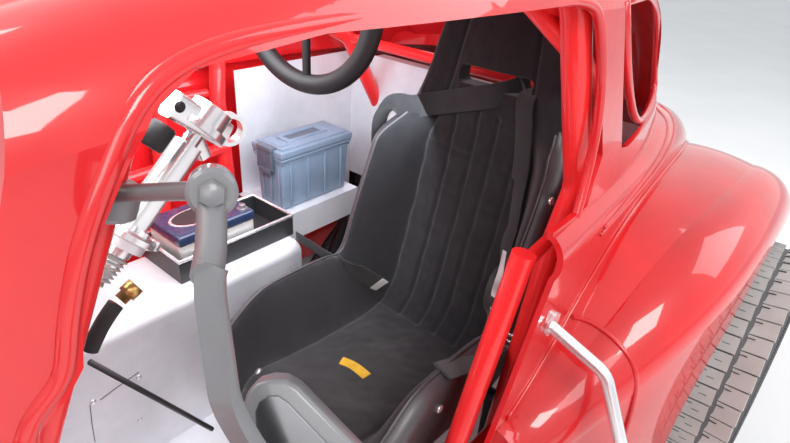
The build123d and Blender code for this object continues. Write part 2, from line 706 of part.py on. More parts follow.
# Seat
# Wing outline and the sitting space, drawn in side view: x, z
wing_outline = [
    (-100, seat_base_z), (-96, 388), (-140, 442), (-205, 490), (-345, 487), (-405, 474), (-446, 520),
    (-498, 660), (-522, 722), (-592, 764), (-628, 800), (-659, 1060), (-688, 1060), (-602, 500), (-566, 335),
    (-520, seat_base_z),
]
space_outline = [(40, 318), (-470, 312), (-528, 336), (-564, 480), (-642, 1000), (-654, 1120), (40, 1120)]
front_outline = [(196, seat_base_z - 5), (seat_half, 480), (seat_half, 742), (180, 772), (150, 800), (128, 860),
                 (118, 940), (118, 1036), (96, 1061)]
with BuildPart() as seat_shell:
    add(side_cut(wing_outline, seat_y - 230, seat_y + 230))
    with BuildSketch(Plane.YZ.offset(-800)):
        with BuildLine():
            Polyline(*[(seat_y + y, z) for y, z in front_outline],
                     *[(seat_y - y, z) for y, z in reversed(front_outline)], close=True)
        make_face()
    extrude(amount=900, mode=Mode.INTERSECT)
    add(side_cut(space_outline, seat_y - seat_half + seat_wall, seat_y + seat_half - seat_wall),
        mode=Mode.SUBTRACT)
    # Belt slot
    with Locations((-630, seat_y, 868)):
        Box(90, 150, 34, mode=Mode.SUBTRACT)
keep("seat_shell", seat_shell.part)

cover_gap = 0.4
cover_half = seat_half - seat_wall - cover_gap
pad_outline = [
    (-112, 318 + cover_gap), (-470, 312 + cover_gap), (-528 + cover_gap, 336 + cover_gap),
    (-564 + cover_gap, 480), (-642 + cover_gap, 1000), (-646.4, 1050), (-613, 1050), (-606, 1000), (-530, 500),
    (-505, 385), (-470, 352),
    (-300, 344), (-150, 372), (-118, 360),
]
with BuildPart() as seat_cover:
    add(side_cut(pad_outline, seat_y - cover_half, seat_y + cover_half))
    with BuildSketch(Plane.YZ.offset(-800)):
        with BuildLine():
            Polyline(*[(seat_y + y - 6, z) for y, z in front_outline],
                     *[(seat_y - y + 6, z) for y, z in reversed(front_outline)], close=True)
        make_face()
    extrude(amount=900, mode=Mode.INTERSECT)
    with Locations((-620, seat_y, 868)):
        Box(120, 160, 44, mode=Mode.SUBTRACT)
keep("seat_cover", seat_cover.part)

# Engine as one block between the front rails
with BuildPart() as engine:
    block((470, -165, 235), (870, 150, 560))
    block((520, -130, 560), (845, 110, 640))
    chamfer(engine.edges().filter_by(Axis.X), 14)
    block((800, -100, 205 + cross_radius + running_gap), (840, 100, 240))
keep("engine", engine.part)

# Exhaust under the floor
exhaust_y = -205
with BuildPart() as exhaust:
    block((525, -173, 265), (595, -165 - running_gap, 335))
    add(bent_tube([(560, -170, 300), (560, exhaust_y - 6, 300), (480, exhaust_y, 190), (400, exhaust_y, 84),
                   (-620, exhaust_y, 84), (-780, exhaust_y, 112), (-1130, exhaust_y, 130)], 20, 30))
    rod((-1120, exhaust_y, 145), (-1420, exhaust_y, 145), 45)
    rod((-1410, exhaust_y, 145), (-1442, exhaust_y, 145), 19)
    rod((-1440, exhaust_y, 145), (-1640, exhaust_y, 145), 22)
    # Hanger up to the frame rail
    rod((-1300, exhaust_y, 150), (-1300, -262, 236), 6)
    add(bar((-1180, -300, 240), (rear_end_x, -200, 240), rail_radius + running_gap), mode=Mode.SUBTRACT)
keep("exhaust", exhaust.part)

# Fuel cell in the tail
with BuildPart() as fuel_cell:
    block((-1360, -190, 262), (-1130, 190, 470))
    fillet(fuel_cell.edges().filter_by(Axis.Z), 20)
    for x, half in ((-1210, 296), (-1330, 264)):
        block((x - 15, -half, 240 + rail_radius + running_gap), (x + 15, half, 265))
keep("fuel_cell", fuel_cell.part)

# Bumpers and side bars
front_bar_x = 1440
with BuildPart() as bumper_front:
    for z in (300, 400):
        add(bent_tube([(front_bar_x - 130, 420, z), (front_bar_x, 330, z), (front_bar_x, -330, z),
                       (front_bar_x - 130, -420, z)], 16))
    for y in (-200, 0, 200):
        rod((front_bar_x, y, 300), (front_bar_x, y, 400), 12)
    for side in (-1, 1):
        rod((front_end_x, side * 180, 205), (front_bar_x, side * 200, 300), 12)
        rod((front_end_x, side * 180, 205), (front_bar_x, side * 200, 400), 9)
    rod((front_end_x, -clip_y, 205), (front_end_x, clip_y, 205), cross_radius + running_gap, Mode.SUBTRACT)
keep("bumper_front", bumper_front.part)

with BuildPart() as bumper_rear:
    for z in (290, 400):
        add(bent_tube([(rear_bar_x + 150, 560, z), (rear_bar_x, 430, z), (rear_bar_x, -430, z),
                       (rear_bar_x + 150, -560, z)], 16))
    for y in (-300, 0, 300):
        rod((rear_bar_x, y, 290), (rear_bar_x, y, 400), 12)
    for side in (-1, 1):
        rod((rear_bar_x, side * stay_y, 290), (rear_end_x, side * stay_y, 240), 14)
    rod((rear_end_x, -200, 240), (rear_end_x, 200, 240), cross_radius + running_gap, Mode.SUBTRACT)
keep("bumper_rear", bumper_rear.part)

side_bar_radius = 9.5
with BuildPart() as side_bar:
    add(bent_tube([(-340, 478, 624), (-340, 584, 586), (-338, 640, 470), (-322, 646, 205), (370, 640, 205),
                   (396, 590, 190), (396, 440, 160)], side_bar_radius, 34))
    with Locations(Plane(origin=(-340, 478, 624), z_dir=(0, 1, -0.1))):
        Cylinder(19, 20, align=on_end)
    rod((0, 642, 205), (0, 385, 130), side_bar_radius)
    add(body_relief, mode=Mode.SUBTRACT)
    rod((-100, rail_y, rail_z), (100, rail_y, rail_z), rail_radius + running_gap, mode=Mode.SUBTRACT)
keep("side_bar_left", side_bar.part)
keep("side_bar_right", mirrored(side_bar.part))

# Mirror on a jointed arm from the cage
with BuildPart() as side_mirror:
    with Locations(Plane(origin=(187, 377, 961), z_dir=(112, 16, -228))):
        Cylinder(28, 26)
    rod((186, 392, 965), (173, 493, 1006), 9)
    rod((172, 490, 1003), (178, 515, 1010), 12)
    rod((176, 498, 1006), (190, 508, 976), 8)
    rod((188, 507, 980), (198, 520, 955), 6)
    rod((197, 518, 958), (213, 547, 903), 6)
    rod((213, 547, 903), (204, 580, 878), 6)
    with Locations(Plane(origin=(202, 593, 878), z_dir=(0.685, 0.545, 0.483), x_dir=(-0.286, 0.813, -0.51))):
        Box(120, 72, 16)
    rod((150, 372, 1038), (262, 388, 810), cage_radius + running_gap, mode=Mode.SUBTRACT)
keep("side_mirror", side_mirror.part)


# Wheels
def ring(profile, x, y):
    """Revolve an outline given as distance along the axle and radius."""
    with BuildPart() as turned:
        with BuildSketch(Plane.YZ.offset(x)):
            with BuildLine():
                Polyline(*[(y + along, tyre_radius + radius) for along, radius in profile], close=True)
            make_face()
        revolve(axis=Axis((x, 0, tyre_radius), (0, 1, 0)))
    return turned.part


half_tyre = tyre_width / 2
half_rim = rim_width / 2
seat_radius = rim_radius + running_gap
tyre_profile = [
    (-half_rim + 4.5, seat_radius), (-half_rim + 4.5, seat_radius + 8), (-half_rim, 181), (-half_tyre + 5, 205),
    (-half_tyre, 232), (-half_tyre + 6, 262), (-half_tyre + 22, 282), (-half_tyre + 40, tyre_radius),
    (half_tyre - 40, tyre_radius),
    (half_tyre - 22, 282), (half_tyre - 6, 262), (half_tyre, 232), (half_tyre - 5, 205),
    (half_rim, 181), (half_rim - 4.5, seat_radius + 8), (half_rim - 4.5, seat_radius),
]
rim_profile = [
    (-half_rim + 4, rim_radius), (-half_rim + 4, rim_radius + 7), (-half_rim, rim_radius + 7),
    (-half_rim, rim_radius - 4), (-36, rim_radius - 10), (-20, rim_radius - 22), (4, rim_radius - 22), (2, 124),
    (0, drum_radius), (-42, drum_radius), (-42, drum_radius - 6), (2, drum_radius - 8),
    (4, spindle_radius + running_gap), (22, spindle_radius + running_gap),
    (22, 34), (12, 40), (14, 78), (26, 96), (20, 118), (14, rim_radius - 24), (30, rim_radius - 18),
    (half_rim - 14, rim_radius - 4), (half_rim, rim_radius - 4), (half_rim, rim_radius + 7),
    (half_rim - 4, rim_radius + 7), (half_rim - 4, rim_radius),
]


def wheel_pair(x, y, where):
    """A tyre and its steel rim at one corner, the rim face outwards."""
    side = 1 if y > 0 else -1
    tyre = ring([(side * a, r) for a, r in tyre_profile], x, y)
    rim = ring([(side * a, r) for a, r in rim_profile], x, y)
    keep("tyre_" + where, tyre)
    keep("rim_" + where, rim)


for x, end in ((front_x, "front"), (rear_x, "rear")):
    for side, hand in ((1, "left"), (-1, "right")):
        wheel_pair(x, side * wheel_y, end + "_" + hand)

# Front knuckle with spindle and steering arm
plate_y = wheel_y - 50
block_half = knuckle_half - 1.5
with BuildPart() as knuckle:
    block((front_x - 12, kingpin_y - 12, tyre_radius - block_half),
          (front_x + 12, kingpin_y + 12, tyre_radius + block_half))
    rod((front_x, kingpin_y, tyre_radius - knuckle_half - 18),
        (front_x, kingpin_y, tyre_radius + knuckle_half + 18), kingpin_radius)
    rod((front_x, kingpin_y, tyre_radius), (front_x, wheel_y + 18, tyre_radius), spindle_radius)
    rod((front_x, plate_y - 6, tyre_radius), (front_x, plate_y, tyre_radius), drum_radius + 6)
    block((front_x, kingpin_y - 22, rack_z + 12.4), (front_x + steer_arm + 8, kingpin_y - 6, rack_z + 22))
keep("knuckle_left", knuckle.part)
keep("knuckle_right", mirrored(knuckle.part))

# Room round the frame tubes for what is bolted to them
room = [bent_tube(run, rail_radius + running_gap) for run in both_sides(low_rail)]
room += [bent_tube(run, brace_radius + running_gap) for run in both_sides(high_rail)]
room += [bent_tube(run, cage_radius + running_gap) for run in both_sides(stay_side)]
room += [bar((x, -half, z), (x, half, z), radius + running_gap) for x, half, z, radius in cross_tubes]
room += [bar((x, side * low_y, low_z), (x, side * high_y, high_z), brace_radius + running_gap)
         for x, low_y, low_z, high_y, high_z in struts for side in (-1, 1)]

# Front arms, dampers and rack housing
boss_low_z = tyre_radius - knuckle_half - 9 - running_gap
boss_high_z = tyre_radius + knuckle_half + 9 + running_gap
arm_pivots = [
    # x from the axle, y, z of a pivot on the frame, and z of the ball end
    (120, clip_y, 205, boss_low_z),
    (-120, clip_y, 205, boss_low_z),
    (90, 172, 414, boss_high_z),
    (-90, 189, 442, boss_high_z),
]
with BuildPart() as front_arms:
    for side in (-1, 1):
        for along, y_in, z_in, z_out in arm_pivots:
            rod((front_x + along, side * y_in, z_in), (front_x, side * (kingpin_y - 6), z_out), 9)
        for z_out in (boss_low_z, boss_high_z):
            with Locations((front_x, side * kingpin_y, z_out)):
                Cylinder(15, 18)
        rod((front_x + 34, side * 440, 194), (front_x + 34, side * 178, 424), 20)
    for side in (-1, 1):
        for z_out in (boss_low_z, boss_high_z):
            with Locations((front_x, side * kingpin_y, z_out)):
                Cylinder(kingpin_radius + pin_gap, 40, mode=Mode.SUBTRACT)
    rod((front_x + steer_arm, -190, rack_z), (front_x + steer_arm, 190, rack_z), 17)
    for side in (-1, 1):
        block((front_x + steer_arm - 10, side * 120 - 12, 210),
              (front_x + steer_arm + 10, side * 120 + 12, rack_z - 12))
    rod((front_x + steer_arm, -clip_y, 205), (front_x + steer_arm, clip_y, 205), 12)
    # Pinion housing round the lower end of the link
    rod(link_low - link_line * 60, link_low + link_line * 18, 17)
    rod(link_low - link_line * 61, link_low + link_line * running_gap, shaft_radius + pin_gap, Mode.SUBTRACT)
    rod((front_x + steer_arm, -200, rack_z), (front_x + steer_arm, 200, rack_z), 9 + running_gap, Mode.SUBTRACT)
    add(room, mode=Mode.SUBTRACT)
keep("front_arms", front_arms.part)

tie_y = kingpin_y - 14
with BuildPart() as rack:
    rod((front_x + steer_arm, -tie_y, rack_z), (front_x + steer_arm, tie_y, rack_z), 9)
    for side in (-1, 1):
        with Locations((front_x + steer_arm, side * tie_y, rack_z)):
            Sphere(12)
keep("steering_rack", rack.part)

# Rear axle with its locating bars and dampers
with BuildPart() as rear_axle:
    rod((rear_x, -plate_y, tyre_radius), (rear_x, plate_y, tyre_radius), 34)
    with Locations((rear_x, -60, tyre_radius)):
        Sphere(96)
    for side in (-1, 1):
        rod((rear_x, side * (plate_y - 6), tyre_radius), (rear_x, side * plate_y, tyre_radius), drum_radius + 6)
        rod((rear_x, side * plate_y, tyre_radius), (rear_x, side * (wheel_y + 18), tyre_radius), spindle_radius)
        rod((rear_x, side * 440, tyre_radius - 30), (-640, side * 360, 160), 11)
        rod((rear_x - 30, side * 402, tyre_radius), (rear_x - 48, side * 340, 494), 20)
    add(room, mode=Mode.SUBTRACT)
keep("rear_axle", rear_axle.part)

# Tail lamps
with BuildPart() as tail_lamps:
    for side in (-1, 1):
        with Locations(Plane(origin=(-1400 - running_gap, side * 560, 380), z_dir=(-1, 0, 0))):
            Cylinder(30, 22, align=on_end)
keep("tail_lamps", tail_lamps.part)

# Windscreen pane behind its seal
with BuildPart() as windscreen:
    add(screen_prism(-4))
    add(screen_prism(-1), mode=Mode.SUBTRACT)
    with BuildSketch(Plane.YZ.offset(150)):
        with Locations((0, (screen_low_z + screen_high_z) / 2)):
            RectangleRounded(2 * screen_half - 1, screen_high_z - screen_low_z - 1, 59.5)
    extrude(amount=250, mode=Mode.INTERSECT)
keep("windscreen", windscreen.part)

# Move every piece so that the stored origin is the middle of the box, on the ground
whole = Compound(children=list(pieces.values()))
box = whole.bounding_box()
centre = Location((-(box.min.X + box.max.X) / 2, -(box.min.Y + box.max.Y) / 2, -box.min.Z))
whole.children = ()
print("stored shift", centre.position)
for name, piece in pieces.items():
    placed = piece.moved(centre)
    placed.label = name
    export_step(placed, f"parts/{name}.step")
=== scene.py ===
"""Dresses the racing coupe: paint, seat, belts, cabin fittings, tyres and the stage."""

import math

import bmesh
import bpy
from mathutils import Matrix, Vector, kdtree, noise
from mathutils.bvhtree import BVHTree


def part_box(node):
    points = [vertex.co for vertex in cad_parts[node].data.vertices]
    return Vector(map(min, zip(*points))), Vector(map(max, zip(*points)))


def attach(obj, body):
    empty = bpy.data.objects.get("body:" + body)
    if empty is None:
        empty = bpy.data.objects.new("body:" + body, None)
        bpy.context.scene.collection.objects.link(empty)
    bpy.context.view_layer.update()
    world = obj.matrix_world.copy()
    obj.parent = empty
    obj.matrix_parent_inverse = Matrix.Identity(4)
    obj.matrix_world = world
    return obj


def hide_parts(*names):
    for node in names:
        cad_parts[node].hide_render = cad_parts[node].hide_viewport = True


bl_info = {
    "name": "Racing Coupe Dresser",
    "version": (1, 0, 0),
    "blender": (4, 2, 0),
    "location": "View3D > Sidebar > Coupe",
    "description": "Builds the visible pieces of a small racing coupe round its packed frame",
    "category": "Object",
}

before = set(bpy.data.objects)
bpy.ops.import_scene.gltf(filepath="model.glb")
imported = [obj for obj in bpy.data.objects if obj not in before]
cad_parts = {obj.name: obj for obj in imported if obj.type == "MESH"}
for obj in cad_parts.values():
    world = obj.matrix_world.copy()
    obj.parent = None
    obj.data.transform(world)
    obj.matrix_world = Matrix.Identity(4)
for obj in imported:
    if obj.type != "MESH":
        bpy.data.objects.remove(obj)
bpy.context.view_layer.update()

# The drawing frame has X forward from mid wheelbase, Y left and Z up, in millimetres.
_engine_low, _engine_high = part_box("engine")
SHIFT = (_engine_low + _engine_high) / 2 - Vector((0.670, -0.0075, 0.0))
SHIFT.z = 0.0
SEAT_Y = 178.0
# The photograph's frame in pixels, and the camera place, aim and lens that match it
PHOTO_WIDTH, PHOTO_HEIGHT = 790, 443
CAMERA_EYE, CAMERA_AIM = Vector((307.9, 712.1, 1124.4)), Vector((-377.57, 167.37, 640.82))
CAMERA_ROLL = math.radians(4.139)
FOCAL_PIXELS = 564.8
SENSOR = 36.0
# Runs just outside the door and window openings, as x and z of the drawing frame
DOOR_LIP = (
    (-300, 640), (-302, 790), (-352, 790), (-436, 849), (-350, 1036), (-322, 1059), (60, 1062),
    (148, 1052), (180, 1034), (198, 1007), (219, 970), (235, 922), (240, 896), (250, 884), (268, 867),
    (272, 838),
)
WINDOW_LIP = ((-404, 790), *DOOR_LIP[3:])
QUARTER_LIP = (
    (-424, 1046), (-527, 836), (-560, 822), (-842, 832), (-875, 864), (-702, 1006), (-600, 1047),
    (-440, 1047),
)


def spot(x, y, z):
    """A point of the drawing frame in metres of the stored frame."""
    return Vector((x, y, z)) / 1000 + SHIFT


# Materials


class Finish:
    """A small writer of shader trees."""

    def __init__(self, name):
        self.material = bpy.data.materials.new(name)
        self.material.use_nodes = True
        self.nodes = self.material.node_tree.nodes
        self.links = self.material.node_tree.links
        self.shader = self.nodes["Principled BSDF"]
        self.coords = self.nodes.new("ShaderNodeTexCoord").outputs["Object"]

    def node(self, kind, **values):
        made = self.nodes.new("ShaderNode" + kind)
        for key, value in values.items():
            setattr(made, key, value)
        return made

    def wire(self, source, target):
        self.links.new(source, target)

    def set(self, **values):
        for key, value in values.items():
            self.shader.inputs[key.replace("_", " ")].default_value = value

    def noise(self, scale, detail=3.0, rough=0.5, stretch=None):
        """Noise in Object space, per metre."""
        coords = self.coords
        if stretch:
            mapping = self.node("Mapping")
            mapping.inputs["Scale"].default_value = stretch
            self.wire(coords, mapping.inputs["Vector"])
            coords = mapping.outputs["Vector"]
        made = self.node("TexNoise")
        made.inputs["Scale"].default_value = scale
        made.inputs["Detail"].default_value = detail
        made.inputs["Roughness"].default_value = rough
        self.wire(coords, made.inputs["Vector"])
        return made.outputs["Fac"]

    def ramp(self, fac, stops):
        """A colour ramp; stops are (place, colour)."""
        made = self.node("ValToRGB")
        ramp = made.color_ramp
        while len(ramp.elements) < len(stops):
            ramp.elements.new(0.5)
        for element, (place, colour) in zip(ramp.elements, stops):
            element.position = place
            element.color = colour if len(colour) == 4 else (*colour, 1)
        self.wire(fac, made.inputs["Fac"])
        return made.outputs["Color"]

    def span(self, fac, low, high):
        """Maps 0..1 to low..high."""
        made = self.node("MapRange")
        made.inputs["To Min"].default_value = low
        made.inputs["To Max"].default_value = high
        self.wire(fac, made.inputs["Value"])
        return made.outputs["Result"]

    def bump(self, height, strength, distance):
        made = self.node("Bump")
        made.inputs["Strength"].default_value = strength
        made.inputs["Distance"].default_value = distance
        self.wire(height, made.inputs["Height"])
        self.wire(made.outputs["Normal"], self.shader.inputs["Normal"])

    def colour(self, output):
        self.wire(output, self.shader.inputs["Base Color"])

    def rough(self, output):
        self.wire(output, self.shader.inputs["Roughness"])


def paint(name, colour, shade, coat, rough):
    """Sprayed enamel with faint orange peel and handling marks."""
    f = Finish(name)
    f.set(Coat_Weight=coat, Coat_Roughness=0.05, Specular_IOR_Level=0.25)
    dark = [c * shade for c in colour]
    f.colour(f.ramp(f.noise(9.0, 4), [(0.3, dark), (0.7, colour)]))
    f.rough(f.span(f.noise(30.0, 5, 0.7), rough - 0.06, rough + 0.12))
    f.bump(f.noise(600.0, 2), 0.06, 0.0004)
    return f.material


def metal(name, colour, rough=0.35, brushed=(1, 1, 1), scale=120.0, wear=0.12, bare=1.0):
    """Bare metal with scratches along one axis and dull patches."""
    f = Finish(name)
    f.set(Metallic=bare)
    grain = f.noise(scale, 6, 0.65, stretch=brushed)
    patch = f.noise(7.0, 5, 0.6)
    f.colour(f.ramp(patch, [(0.3, [c * 0.8 for c in colour]), (0.7, colour)]))
    mix = f.node("Math", operation="MULTIPLY")
    f.wire(grain, mix.inputs[0])
    f.wire(patch, mix.inputs[1])
    f.rough(f.span(mix.outputs[0], rough - 0.1, rough + wear + 0.3))
    f.bump(grain, 0.12, 0.0003)
    return f.material


def moulded(name, colour, rough=0.5, grain=900.0, depth=0.25, coat=0.0, spec=0.5):
    """Moulded plastic, rubber or vinyl with a fine grain."""
    f = Finish(name)
    f.set(Coat_Weight=coat, Specular_IOR_Level=spec)
    f.colour(f.ramp(f.noise(14.0, 4), [(0.3, [c * 0.8 for c in colour]), (0.75, colour)]))
    f.rough(f.span(f.noise(45.0, 5, 0.7), rough - 0.08, rough + 0.14))
    voronoi = f.node("TexVoronoi")
    voronoi.inputs["Scale"].default_value = grain
    f.wire(f.coords, voronoi.inputs["Vector"])
    f.bump(voronoi.outputs["Distance"], depth, 0.0003)
    return f.material


def cloth(name, colour, count=420.0, sheen=0.25, depth=0.5):
    """Woven cloth, its weave taken from the piece's UV map in metres."""
    f = Finish(name)
    f.set(Sheen_Weight=sheen, Sheen_Roughness=0.5, Specular_IOR_Level=0.2)
    uv = f.nodes["Texture Coordinate"].outputs["UV"]
    waves = []
    for axis in ("X", "Y"):
        wave = f.node("TexWave", wave_type="BANDS", bands_direction=axis, wave_profile="SIN")
        wave.inputs["Scale"].default_value = count
        wave.inputs["Distortion"].default_value = 0.6
        wave.inputs["Detail"].default_value = 1.0
        f.wire(uv, wave.inputs["Vector"])
        waves.append(wave.outputs["Fac"])
    weave = f.node("Math", operation="MULTIPLY")
    f.wire(waves[0], weave.inputs[0])
    f.wire(waves[1], weave.inputs[1])
    dust = f.noise(24.0, 6, 0.7)
    tint = f.node("Mix", data_type="RGBA")
    for socket, fac, low, high in (("A", dust, (0.35, 0.65), (0.72, 1.5)),
                                   ("B", weave.outputs[0], (0.0, 0.4), (0.8, 1.6))):
        stops = [(place, [c * gain for c in colour]) for place, gain in (low, high)]
        f.wire(f.ramp(fac, stops), tint.inputs[socket])
    tint.inputs["Factor"].default_value = 0.5
    f.colour(tint.outputs["Result"])
    f.set(Roughness=0.9)
    f.bump(weave.outputs[0], depth, 0.0006)
    return f.material


def clear_glass(name):
    """Thin clear glass with faint smears."""
    f = Finish(name)
    f.set(Transmission_Weight=1.0, IOR=1.12, Roughness=0.02, Base_Color=(0.95, 1.0, 0.98, 1))
    f.rough(f.span(f.noise(20.0, 4), 0.01, 0.06))
    return f.material


FINISHES = {}


def make_finishes(paint_colour, frame_colour):
    """All finishes, by the plain name the pieces use."""
    table = {
        "body_paint": (paint, paint_colour, 0.78, 1.0, 0.34),
        "cage_paint": (paint, frame_colour, 0.88, 0.6, 0.3),
        "black_paint": (paint, (0.02, 0.02, 0.022), 0.7, 0.4, 0.4),
        "wheel_paint": (paint, (0.035, 0.035, 0.038), 0.7, 0.6, 0.35),
        "sheet_alloy": (metal, (0.86, 0.88, 0.92), 0.42, (1, 1, 8), 90.0, 0.12, 0.45),
        "bright_steel": (metal, (0.86, 0.86, 0.88), 0.22, (1, 6, 1), 150.0, 0.02, 0.75),
        "dull_steel": (metal, (0.42, 0.42, 0.43), 0.45, (1, 1, 1), 200.0),
        "cast_alloy": (metal, (0.5, 0.5, 0.5), 0.6, (1, 1, 1), 260.0),
        "brass": (metal, (0.62, 0.42, 0.16), 0.35),
        "tyre_rubber": (moulded, (0.10, 0.10, 0.105), 0.75, 500.0, 0.2),
        "grip_rubber": (moulded, (0.012, 0.012, 0.014), 0.5, 700.0, 0.5),
        "black_plastic": (moulded, (0.025, 0.025, 0.027), 0.45, 1200.0, 0.2),
        "case_plastic": (moulded, (0.20, 0.27, 0.36), 0.5, 1000.0, 0.25),
        "battery_plastic": (moulded, (0.02, 0.035, 0.09), 0.25, 900.0, 0.1, 0.5),
        "case_steel": (metal, (0.78, 0.77, 0.74), 0.4, (8, 8, 1), 140.0, 0.12, 0.6),
        "case_dark": (moulded, (0.10, 0.12, 0.16), 0.45, 1000.0, 0.2),
        "mirror_plastic": (moulded, (0.17, 0.17, 0.18), 0.38, 1000.0, 0.1, 0.3),
        "mirror_glass": (metal, (0.16, 0.16, 0.17), 0.3, (1, 1, 1), 60.0, -0.2, 0.9),
        "pale_rubber": (moulded, (0.55, 0.54, 0.52), 0.6, 800.0, 0.3),
        # Tread blocks: dust, and painted sunlight that makes them far paler than the sidewall rubber
        "tread_rubber": (moulded, (0.46, 0.445, 0.43), 0.85, 300.0, 0.3),
        # Near-black rubber of the slit plates: painted shade inside the sipes
        "groove_rubber": (moulded, (0.02, 0.02, 0.022), 0.85, 300.0, 0.3),
        "vinyl": (moulded, (0.06, 0.06, 0.066), 0.34, 1500.0, 0.35, 0.1, 0.6),
        "seat_cloth": (cloth, (0.017, 0.017, 0.020)),
        "webbing": (cloth, (0.03, 0.03, 0.033), 700.0, 0.2, 0.6),
        "glass": (clear_glass,),
        "red_lens": (paint, (0.5, 0.01, 0.012), 0.9, 1.0, 0.1),
        "white_label": (moulded, (0.75, 0.75, 0.74), 0.5, 900.0, 0.05),
        "yellow_cloth": (cloth, (0.7, 0.42, 0.02)),
        "chrome": (metal, (0.85, 0.85, 0.87), 0.1, (1, 1, 1), 100.0, -0.2),
    }
    for name, (build, *values) in table.items():
        FINISHES[name] = build(name, *values)


# Mesh tools


def settle(piece, finish, body="car", smooth=True):
    """Gives a piece its finish and its body."""
    piece.data.materials.clear()
    for name in [finish] if isinstance(finish, str) else finish:
        piece.data.materials.append(FINISHES[name])
    for polygon in piece.data.polygons:
        polygon.use_smooth = smooth
    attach(piece, body)
    return piece


def shown(name, data):
    """A new object in the scene round a mesh or curve."""
    piece = bpy.data.objects.new(name, data)
    bpy.context.scene.collection.objects.link(piece)
    return piece


def evaluated(piece):
    """The mesh of a piece with its modifiers applied, or of a curve."""
    graph = bpy.context.evaluated_depsgraph_get()
    graph.update()
    return bpy.data.meshes.new_from_object(piece.evaluated_get(graph))


def mesh_piece(name, verts, faces):
    """A new object from points in metres and faces."""
    mesh = bpy.data.meshes.new(name)
    mesh.from_pydata([tuple(v) for v in verts], [], faces)
    mesh.validate()
    return shown(name, mesh)


def outward(piece, merge=0.00002):
    """Merges doubles, unless merge is 0, and turns the faces outwards."""
    bm = bmesh.new()
    bm.from_mesh(piece.data)
    if merge:
        bmesh.ops.remove_doubles(bm, verts=bm.verts, dist=merge)
    bmesh.ops.recalc_face_normals(bm, faces=bm.faces)
    bm.to_mesh(piece.data)
    bm.free()
    return piece


def joined(name, parts):
    """One mesh from several objects, its material slots kept by name."""
    bm = bmesh.new()
    materials = []
    for part in parts:
        offset = {}
        for index, material in enumerate(part.data.materials):
            if material not in materials:
                materials.append(material)
            offset[index] = materials.index(material)
        before = len(bm.faces)
        bm.from_mesh(part.data)
        bm.faces.ensure_lookup_table()
        for face in bm.faces[before:]:
            face.material_index = offset.get(face.material_index, 0)
    mesh = bpy.data.meshes.new(name)
    bm.to_mesh(mesh)
    bm.free()
    for material in materials:
        mesh.materials.append(material)
    piece = shown(name, mesh)
    for part in parts:
        bpy.data.objects.remove(part)
    return piece


def baked(piece):
    """The piece with its modifiers applied."""
    name = piece.name
    plain = shown(name + "_mesh", evaluated(piece))
    bpy.data.objects.remove(piece)
    plain.name = name
    return plain


SHARP_ANGLE = math.radians(35)


def auto_smooth(piece):
    """Smooth shading that keeps sharp edges."""
    bm = bmesh.new()
    bm.from_mesh(piece.data)
    for edge in bm.edges:
        edge.smooth = len(edge.link_faces) == 2 and edge.calc_face_angle(0) < SHARP_ANGLE
    for face in bm.faces:
        face.smooth = True
    bm.to_mesh(piece.data)
    bm.free()
    return piece


def modified(piece, kind, **values):
    """The piece with one more modifier."""
    modifier = piece.modifiers.new(kind.title(), kind)
    for key, value in values.items():
        setattr(modifier, key, value)
    return piece


def block(name, low, high, bevel, segments=3):
    """A bevelled block between two corners of the drawing frame."""
    bm = bmesh.new()
    bmesh.ops.create_cube(bm, size=1.0)
    a, b = spot(*low), spot(*high)
    bmesh.ops.scale(bm, verts=bm.verts, vec=b - a)
    bmesh.ops.translate(bm, verts=bm.verts, vec=(a + b) / 2)
    if bevel:
        bmesh.ops.bevel(bm, geom=bm.edges[:], offset=bevel, segments=segments, profile=0.6, affect="EDGES")
    mesh = bpy.data.meshes.new(name)
    bm.to_mesh(mesh)
    bm.free()
    return shown(name, mesh)


def turned(name, profile, start, axis, steps):
    """Revolves (along, radius) pairs in millimetres about an axis of the drawing frame."""
    axis = Vector(axis).normalized()
    side = axis.orthogonal().normalized()
    other = axis.cross(side)
    rows = []
    for turn in range(steps):
        angle = 2 * math.pi * turn / steps
        ray = side * math.cos(angle) + other * math.sin(angle)
        rows.append([spot(*start) + (axis * along + ray * radius) / 1000 for along, radius in profile])
    return outward(skin_grid(name, rows, ring=True), 0.00005)


def route(name, points, order, steps=10, closed=False):
    """A curve along points of the drawing frame; order 1 keeps it straight between them."""
    curve = bpy.data.curves.new(name, "CURVE")
    curve.dimensions = "3D"
    spline = curve.splines.new("NURBS" if order > 1 else "POLY")
    spline.points.add(len(points) - 1)
    for point, place in zip(spline.points, points):
        point.co = (*spot(*place), 1)
    spline.use_cyclic_u = closed
    if order > 1:
        spline.order_u = min(order, len(points))
        spline.use_endpoint_u = not closed
        spline.resolution_u = steps
    return curve


def pipe(name, points, radius, closed=False, smooth=True, resolution=6):
    """A tube along points of the drawing frame."""
    curve = route(name, points, 4 if smooth else 1, closed=closed)
    curve.bevel_depth = radius / 1000
    curve.bevel_resolution = resolution
    curve.use_fill_caps = True
    return outward(baked(shown(name, curve)))


def lay_uvs(piece, uvs):
    """A UV map from one pair per vertex."""
    layer = piece.data.uv_layers.new(name="UVMap")
    for loop in piece.data.loops:
        layer.data[loop.index].uv = uvs[loop.vertex_index]


# Places round a strap's section, as shares of its width and thickness
STRAP_SECTION = ((-0.5, -0.3), (-0.5, 0.3), (-0.46, 0.5), (0, 0.46), (0.46, 0.5), (0.5, 0.3), (0.5, -0.3),
                 (0.46, -0.5), (0, -0.46), (-0.46, -0.5))


